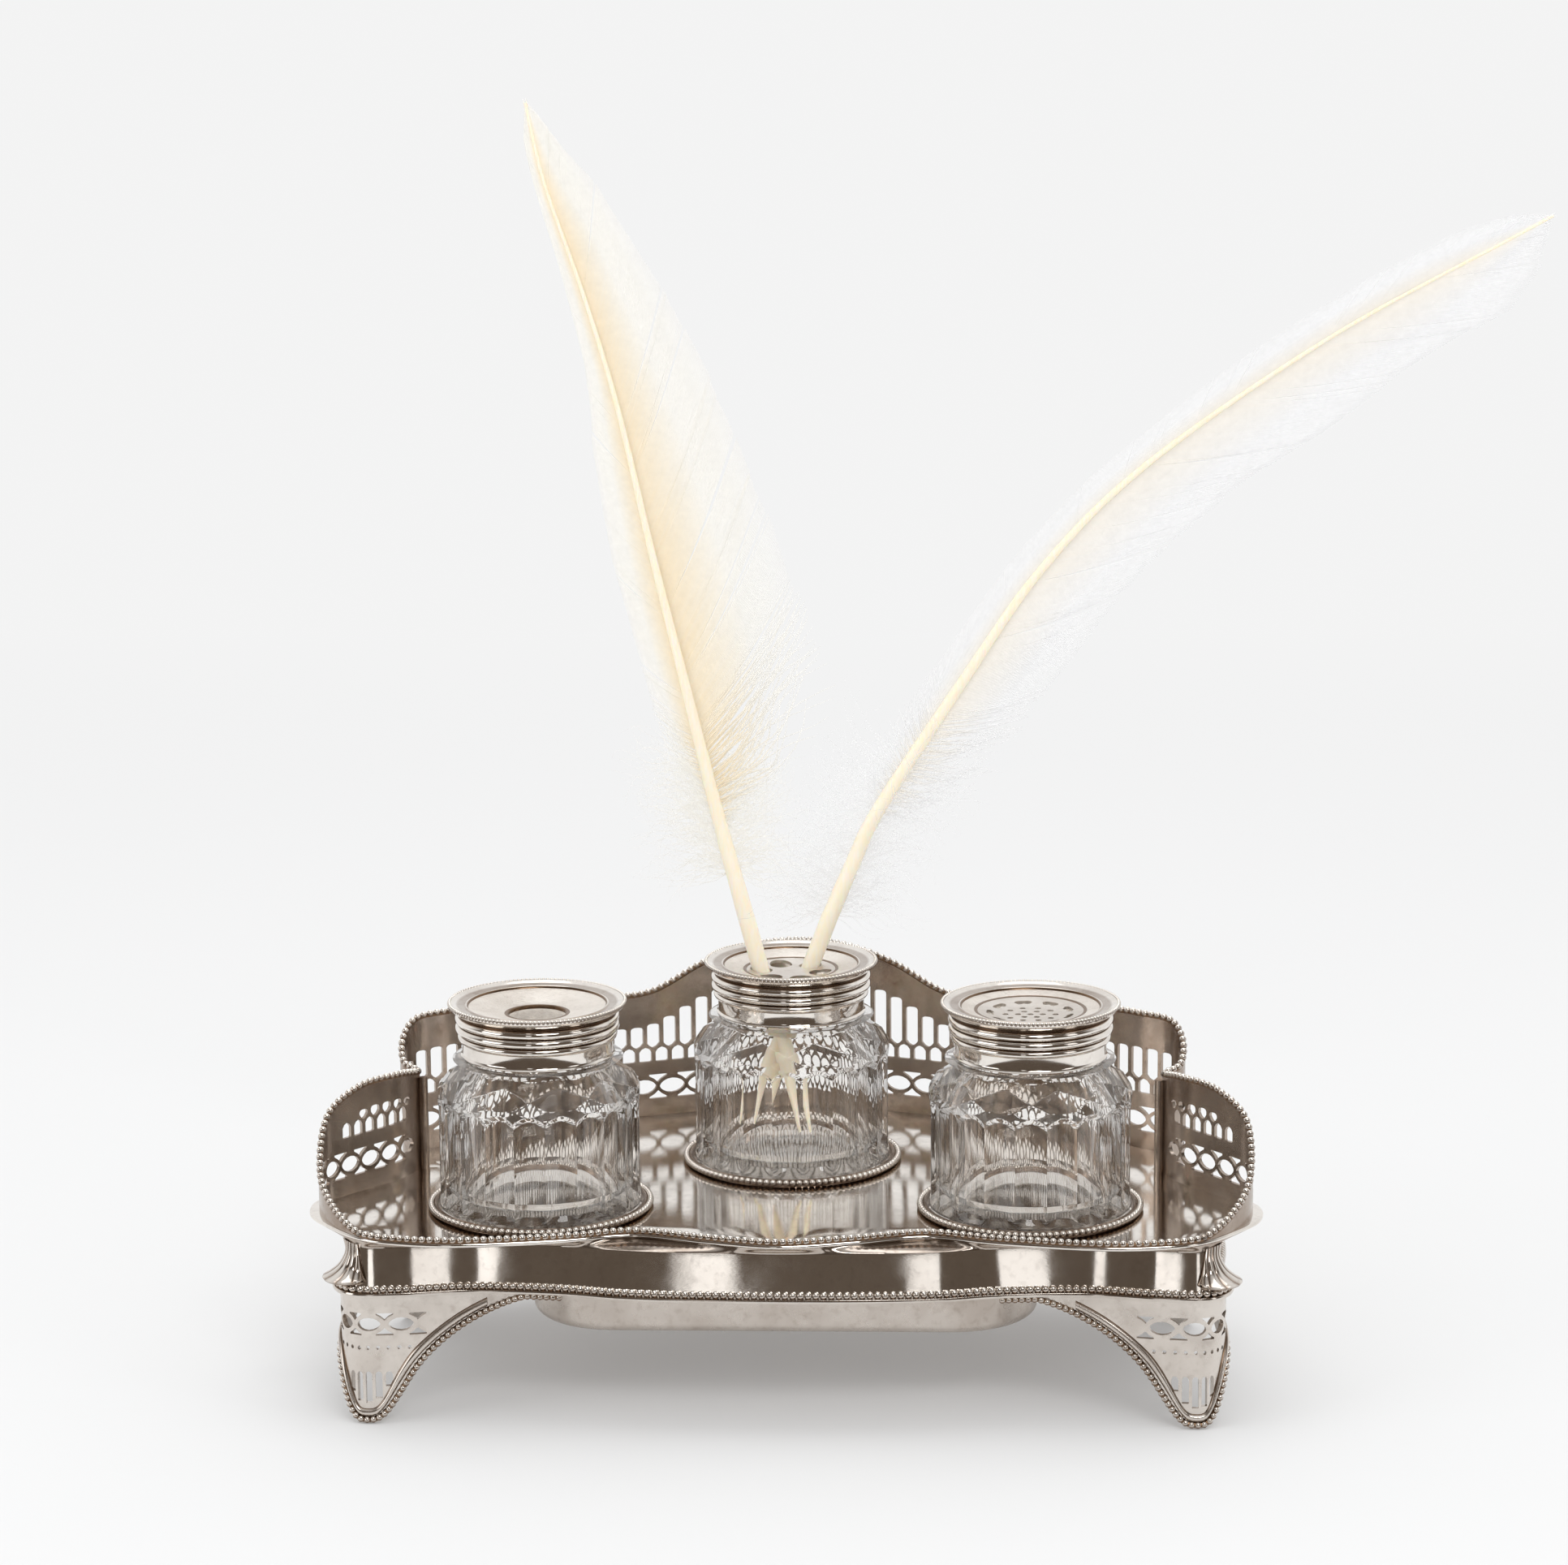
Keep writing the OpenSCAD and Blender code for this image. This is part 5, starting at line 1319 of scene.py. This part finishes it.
# The feathers in millimetres: where the straight barrel ends and where its nib is; where the
# down starts and ends along the curved shaft and how many strands it has; the shaft's points
# from the bend; and the vane's reach to its two sides at shares of the shaft's length
QUILLS = {
    "left": {
        "bend": (-13.686, 54.156, 74.58), "nib": (4.5, 45.0, 9.7), "down": (0.05, 0.2, 620),
        "run": [(0, 0, 0), (-8, 2, 30), (-17, 2.5, 68), (-26.5, 3, 108), (-36.5, 3.5, 153),
                (-46, 4, 186), (-57, 4, 219), (-62, 4, 242)],
        "reach": [(0, 0.5, 0.5), (0.1, 0.5, 0.5), (0.16, 5, 14), (0.21, 8.5, 30),
                  (0.26, 11, 39), (0.45, 12, 36.5), (0.59, 10, 32), (0.69, 6, 25),
                  (0.79, 4.5, 19), (0.9, 3, 13), (0.96, 2.5, 7), (1, 0.5, 0.5)]},
    "right": {
        "bend": (11.509, 58.748, 72.952), "nib": (-13.0, 54.0, 9.7), "down": (0.0, 0.17, 760),
        "run": [(0, 0, 0), (6.5, 1, 15), (15, 1.5, 33), (39, 2, 70), (64, 2.5, 106),
                (95, 3, 137), (148, 3, 174), (201, 4, 203), (212, 4, 209)],
        "reach": [(0, 0.5, 0.5), (0.1, 0.5, 0.5), (0.15, 8, 14), (0.2, 10, 19),
                  (0.37, 8.5, 24), (0.55, 7.5, 26), (0.7, 9, 24), (0.8, 9, 21),
                  (0.92, 9, 20), (0.97, 6, 11), (1, 0.5, 0.5)]},
}


# Points along a barb and along a strand of down, and the way in which their flat side looks
BARB_POINTS, DOWN_POINTS = 9, 13
FACING = (0.0, -1.0, 0.0)
# Share of the curved shaft at which the vane starts
VANE_START = 0.1


def hairs(roots, curves, width, thick):
    """Many thin three-sided blades at once. Curves are (hairs, points, 3) offsets from roots."""
    line = roots[:, None] + curves
    t = unit(np.gradient(line, axis=1))
    wide = unit(np.cross(np.broadcast_to(FACING, t.shape), t))
    up = np.cross(t, wide)
    q = np.linspace(0, 1, line.shape[1])[None, :, None]
    w = width * (1 - 0.75 * q ** 2) / 2
    corners = np.stack([line - wide * w, line + wide * w, line + up * thick * (1 - 0.6 * q)], 2)
    n, m = line.shape[:2]
    verts = corners.reshape(-1, 3)
    one = grid_faces(m, 3, close_cols=True)
    faces = (one[None] + np.arange(n)[:, None, None] * m * 3).reshape(-1, 4)
    ends = np.array([[0, 1, 2], [(m - 1) * 3 + 2, (m - 1) * 3 + 1, (m - 1) * 3]])
    caps = (ends[None] + np.arange(n)[:, None, None] * m * 3).reshape(-1, 3)
    across = np.repeat(np.broadcast_to(q, (n, m, 1)), 3, 2).ravel()
    return verts, [faces, caps], across


def vane_barbs(line, reach, side, count, rng):
    """Barbs of one side of a vane. Each leaves the shaft at a slant that closes towards the tip
    and runs out to the vane's outline: of many places along the shaft, the first where the
    barb is as far out as the outline. Neighbours are pushed a little together into locks."""
    along = lengths(line)
    total = along[-1]
    share = along / total
    t = unit(np.gradient(line, axis=0))
    across = unit(np.cross((0.0, 1.0, 0.0), t))
    s = np.linspace(VANE_START, 0.995, count)
    slant = np.radians(np.interp(s, [VANE_START, 0.18, 0.3, 0.8, 1], [74, 50, 38, 24, 11]))
    lock = np.cumsum(rng.random(count) < 0.035)
    per_lock = rng.random(lock[-1] + 1)[lock] - 0.5
    slant = slant + np.radians(2.2) * per_lock
    table = np.asarray(reach, float)
    grid = np.linspace(0, 1, 600)
    outline = np.interp(grid, table[:, 0], table[:, 1 if side < 0 else 2]) * MM
    wide = (grid[None] - s[:, None]) * total * np.tan(slant)[:, None]
    first = (wide >= outline[None]).argmax(1)
    wide = np.where(wide.max(1) < 1e-9, outline[-1], outline[first])
    wide = np.maximum(0.5 * MM, wide) * (1 + 0.03 * per_lock + 0.012 * (rng.random(count) - 0.5))
    root, tangent, out = (between(s, share, rows) for rows in (line, t, across * side))
    q = np.linspace(0, 1, BARB_POINTS)[None, :, None]
    length = (wide / np.sin(slant))[:, None, None]
    run = (tangent[:, None] * np.cos(slant)[:, None, None]
           + out[:, None] * np.sin(slant)[:, None, None]) * q * length
    bow = 0.1 * np.sin(np.pi * q[..., 0]) * wide[:, None]
    run += tangent[:, None] * bow[..., None] * -0.6
    loose = np.clip((0.24 - s) / 0.14, 0, 1)[:, None]
    limp = [loose * wide[:, None] * 0.3 * q[..., 0] * np.sin(
        2 * np.pi * rng.random((count, 1)) + q[..., 0] * rng.uniform(2, 6, (count, 1)))
        for _ in range(3)]
    run += np.stack(limp, -1)
    run[:, :, 1] -= (0.09 * wide[:, None] * np.sin(q[..., 0] * np.pi * 0.8)
                     + 0.35 * MM * per_lock[:, None] * q[..., 0])
    verts, faces, share_out = hairs(root, run, 0.44 * MM, 0.09 * MM)
    streak = np.repeat(0.6 * rng.random(count) + 0.8 * (per_lock + 0.5) * 0.5, 3 * BARB_POINTS)
    return verts, faces, share_out, streak


def down_barbs(line, start, end, count, rng):
    """Loose down at a vane's foot: long limp strands that start sideways and wander."""
    share = lengths(line) / lengths(line)[-1]
    s = rng.uniform(start, end, count)
    root = between(s, share, line)
    side = np.where(rng.random(count) < 0.5, -1.0, 1.0)
    length = rng.uniform(8, 27, count) * MM
    q = np.linspace(0, 1, DOWN_POINTS)[None, :]
    wave = rng.uniform(0, 2 * np.pi, (count, 3))
    turns = rng.uniform(0.5, 1.6, (count, 3))
    lift = rng.uniform(-0.5, 1.1, count)[:, None]
    deep = rng.uniform(-0.5, 0.5, count)[:, None]
    sway = [0.15 * q * np.sin(wave[:, k:k + 1] + q * 2 * np.pi * turns[:, k:k + 1])
            for k in range(3)]
    run = np.stack([side[:, None] * q * np.cos(lift * q) + sway[0],
                    deep * q ** 1.5 + sway[1], lift * q + sway[2]], -1)
    run *= length[:, None, None]
    verts, faces, across = hairs(root, run, 0.16 * MM, 0.06 * MM)
    return verts, faces, 0.6 + 0.4 * across, np.repeat(rng.random(count), 3 * DOWN_POINTS)


class INKSTAND_OT_quills(bpy.types.Operator):
    """Makes the two feathers: horn shafts, slanting barbs and loose down"""

    bl_idname = "inkstand.quills"
    bl_label = "Quills"

    def execute(self, context):
        look = context.scene.inkstand_quill
        horn = shared("horn", horn_material, look)
        vanes = {"left": shared("ivory_barbs", feather_material, look.ivory, look.horn, 0.3),
                 "right": shared("grey_barbs", feather_material, look.grey, look.pale, 0.5)}
        for name, quill in QUILLS.items():
            rng = np.random.default_rng(7 if name == "left" else 11)
            bend, nib = np.array(quill["bend"]) * MM, np.array(quill["nib"]) * MM
            line = smooth_run(bend + np.array(quill["run"], float) * MM, 20)
            barrel = nib + (bend - nib) * np.linspace(0, 1, 40)[:-1, None]
            whole = np.vstack([barrel, line])
            far = lengths(whole)
            bare = lengths(barrel)[-1]
            bent = np.clip((far - bare) / (far[-1] - bare), 0, 1)
            radius = (0.5 + 2.08 * (1 - bent) ** 1.8) * MM * np.interp(
                far, [0, 9 * MM, 16 * MM], [0.2, 0.58, 1])
            add_piece(f"quill_{name}_horn", *tube(whole, FACING, radius, 16), horn,
                      f"{name}_quill", replaces=[f"quill_{name}_shaft"], slot="quill_horn",
                      outside=True)
            parts = [vane_barbs(line, quill["reach"], side, look.barbs, rng) for side in (-1, 1)]
            parts.append(down_barbs(line, *quill["down"], rng))
            across = np.concatenate([p[2] for p in parts])
            streak = np.concatenate([p[3] for p in parts])
            add_piece(f"quill_{name}_barbs", *joined([p[:2] for p in parts]), vanes[name],
                      f"{name}_quill", replaces=[f"quill_{name}_vane"], sharp=None,
                      slot="ivory_vane" if name == "left" else "grey_vane",
                      values={"across": across, "streak": streak})
        return {"FINISHED"}


# Lamps: place, point that they face, width and height, and share of the main lamp's power
LAMPS = {
    "softbox_left": ((-1.52, -0.78, 0.42), (0, 0, 0.02), (0.9, 1.0), 0.9),
    "window_left": ((-0.304, -1.977, 0.31), (0, 0, 0), (0.23, 0.72), 0.11),
    "window_right": ((0.49, -1.94, 0.31), (0, 0, 0), (0.27, 0.72), 0.11),
    "softbox_right": ((1.35, -0.75, 0.5), (0, 0, 0.02), (0.4, 0.9), 0.25),
    "softbox_front": ((0.45, -1.35, 1.35), (0, 0, 0.02), (0.9, 0.4), 1.3),
    "top": ((0.0, 0.35, 1.7), (0, 0.05, 0), (1.5, 1.2), 1.5),
}
# The paper's front edge, its bend's start and radius, its top and its half width
PAPER_FRONT, PAPER_BEND, PAPER_ROUND, PAPER_TOP, PAPER_HALF = -0.225, 2.2, 0.8, 3.5, 4
# Colours of the surroundings: seen by matt things, through glass and by the camera; and what
# mirrors see of the dark front of the room and of its white back and ceiling
MATT_WHITE, GLASS_WHITE, CAMERA_WHITE = (0.85, 0.855, 0.86), (0.84, 0.82, 0.80), (0.92,) * 3
ROOM_DARK, ROOM_WHITE = (0.105, 0.082, 0.064), (0.90,) * 3
# The camera: turn, height angle and roll in degrees, its aim and its distance in millimetres
VIEW_ANGLES = (2.686, 11.587, -0.502)
VIEW_AIM, VIEW_FAR = (0.92, -2.5, 126.785), 1303.39


def area_lamp(name, place, aim, size, power):
    """A square lamp that faces a point."""
    lamp = bpy.data.lights.new(name, "AREA")
    lamp.shape = "RECTANGLE"
    lamp.size, lamp.size_y = size
    lamp.energy = power
    obj = bpy.data.objects.new(name, lamp)
    obj.location = place
    obj.rotation_euler = (Vector(aim) - Vector(place)).to_track_quat("-Z", "Y").to_euler()
    bpy.context.scene.collection.objects.link(obj)


class INKSTAND_OT_stage(bpy.types.Operator):
    """Makes the floor, the lamps, the world and the camera"""

    bl_idname = "inkstand.stage"
    bl_label = "Stage"

    def execute(self, context):
        scene, look = context.scene, context.scene.inkstand_stage
        scene.view_settings.view_transform = "Standard"
        self.floor(look)
        self.world(scene)
        for name, (place, aim, size, share) in LAMPS.items():
            area_lamp(name, place, aim, size, look.key_power * share)
        self.camera(scene, look)
        return {"FINISHED"}

    def floor(self, look):
        """White paper that bends up into a backdrop: a flat, a quarter circle and a wall. It
        shines by itself the more, the further it lies behind the tray."""
        a = np.linspace(0, np.pi / 2, 12)
        bend = np.stack([PAPER_BEND + PAPER_ROUND * np.sin(a),
                         PAPER_ROUND - PAPER_ROUND * np.cos(a)], 1)
        prof = np.vstack([[(PAPER_FRONT, 0.0)], bend, [(PAPER_BEND + PAPER_ROUND, PAPER_TOP)]])
        x = np.linspace(-PAPER_HALF, PAPER_HALF, 5)
        verts = np.stack([np.repeat(x, len(prof)), np.tile(prof[:, 0], 5),
                          np.tile(prof[:, 1], 5) + FLOOR_Z], 1)
        mesh = bpy.data.meshes.new("floor")
        mesh.from_pydata(verts.tolist(), [], grid_faces(5, len(prof)).tolist())
        mesh.shade_smooth()
        material, tree, out = node_tree("floor_paper")
        at = tree.nodes.new("ShaderNodeTexCoord").outputs["Object"]
        tint = mix_colour(tree, noise(tree, at, 3.0), (*look.floor, 1),
                          (*[c * 0.985 for c in look.floor], 1))
        paper = add_node(tree, "ShaderNodeBsdfDiffuse", {"Color": tint})
        glow = add_node(tree, "ShaderNodeEmission", {"Color": (*ROOM_WHITE, 1)})
        far = ramp(tree, add_node(tree, "ShaderNodeSeparateXYZ", {"Vector": at}).outputs["Y"],
                   0.25, 1.3, 0.16, 1.0)
        both = mix_shader(tree, far, paper, glow)
        tree.links.new(both.outputs[0], out.inputs[0])
        mesh.materials.append(material)
        floor = bpy.data.objects.new("floor", mesh)
        bpy.context.scene.collection.objects.link(floor)

    def world(self, scene):
        """Even soft light for matt things. In mirrors and in glass the front is a dark room,
        the back and the ceiling are white."""
        world = bpy.data.worlds.new("studio")
        scene.world = world
        world.use_nodes = True
        tree = world.node_tree
        tree.nodes.clear()
        way = tree.nodes.new("ShaderNodeTexCoord").outputs["Generated"]
        split = add_node(tree, "ShaderNodeSeparateXYZ", {"Vector": way})
        path = tree.nodes.new("ShaderNodeLightPath")
        white = math_node(tree, "MAXIMUM", ramp(tree, split.outputs["Y"], -0.1, 0.3),
                          ramp(tree, split.outputs["Z"], 0.7, 0.96, 0.0, 0.75))
        seen = mix_colour(tree, white, (*ROOM_DARK, 1), (*ROOM_WHITE, 1))
        for ray, colour in (("Is Diffuse Ray", MATT_WHITE), ("Is Transmission Ray", GLASS_WHITE),
                            ("Is Camera Ray", CAMERA_WHITE)):
            seen = mix_colour(tree, path.outputs[ray], seen, (*colour, 1))
        light = add_node(tree, "ShaderNodeBackground", {"Color": seen, "Strength": 1.0})
        out = tree.nodes.new("ShaderNodeOutputWorld")
        tree.links.new(light.outputs[0], out.inputs[0])

    def camera(self, scene, look):
        """The photograph's view: a turn, a height angle, a distance and a slight roll."""
        turn, rise, roll = map(math.radians, VIEW_ANGLES)
        target = Vector(VIEW_AIM) * MM
        back = Vector((math.sin(turn) * math.cos(rise), -math.cos(turn) * math.cos(rise),
                       math.sin(rise)))
        right = (-back).cross(Vector((0, 0, 1))).normalized()
        up = right.cross(-back)
        side = right * math.cos(roll) + up * math.sin(roll)
        head = up * math.cos(roll) - right * math.sin(roll)
        lens = bpy.data.cameras.new("camera")
        lens.sensor_width = 36.0
        lens.lens = look.lens
        camera = bpy.data.objects.new("camera", lens)
        turned_to = Matrix((side, head, back)).transposed().to_4x4()
        camera.matrix_world = Matrix.Translation(target + back * VIEW_FAR * MM) @ turned_to
        scene.collection.objects.link(camera)
        scene.camera = camera


# The order in which main calls the operators
STEPS_IN_ORDER = (
    INKSTAND_OT_stage, INKSTAND_OT_tray, INKSTAND_OT_beads, INKSTAND_OT_gallery,
    INKSTAND_OT_feet, INKSTAND_OT_leaves, INKSTAND_OT_bottles, INKSTAND_OT_caps,
    INKSTAND_OT_quills,
)
GROUPS = {"inkstand_plan": PlanSizes, "inkstand_silver": SilverLook, "inkstand_glass": GlassLook,
          "inkstand_quill": QuillLook, "inkstand_stage": StageLook}


class INKSTAND_PT_panel(bpy.types.Panel):
    """Lists the pieces of the inkstand and their sizes and colours"""

    bl_label = "Inkstand"
    bl_space_type = "VIEW_3D"
    bl_region_type = "UI"
    bl_category = "Inkstand"

    def draw(self, context):
        for step in STEPS_IN_ORDER:
            self.layout.operator(step.bl_idname)
        for name, group in GROUPS.items():
            box = self.layout.box()
            for key in group.__annotations__:
                box.prop(getattr(context.scene, name), key)


def register():
    """Makes the settings, the operators and the panel known to Blender."""
    for cls in (*GROUPS.values(), *STEPS_IN_ORDER, INKSTAND_PT_panel):
        bpy.utils.register_class(cls)
    for name, group in GROUPS.items():
        setattr(bpy.types.Scene, name, bpy.props.PointerProperty(type=group))


def unregister():
    """Takes them away again."""
    for name in GROUPS:
        delattr(bpy.types.Scene, name)
    for cls in reversed((*GROUPS.values(), *STEPS_IN_ORDER, INKSTAND_PT_panel)):
        bpy.utils.unregister_class(cls)


def main():
    """Makes every piece in order."""
    register()
    for step in STEPS_IN_ORDER:
        group, name = step.bl_idname.split(".")
        if getattr(getattr(bpy.ops, group), name)() != {"FINISHED"}:
            raise RuntimeError(step.bl_label + " was not made")


if __name__ == "__main__":
    main()
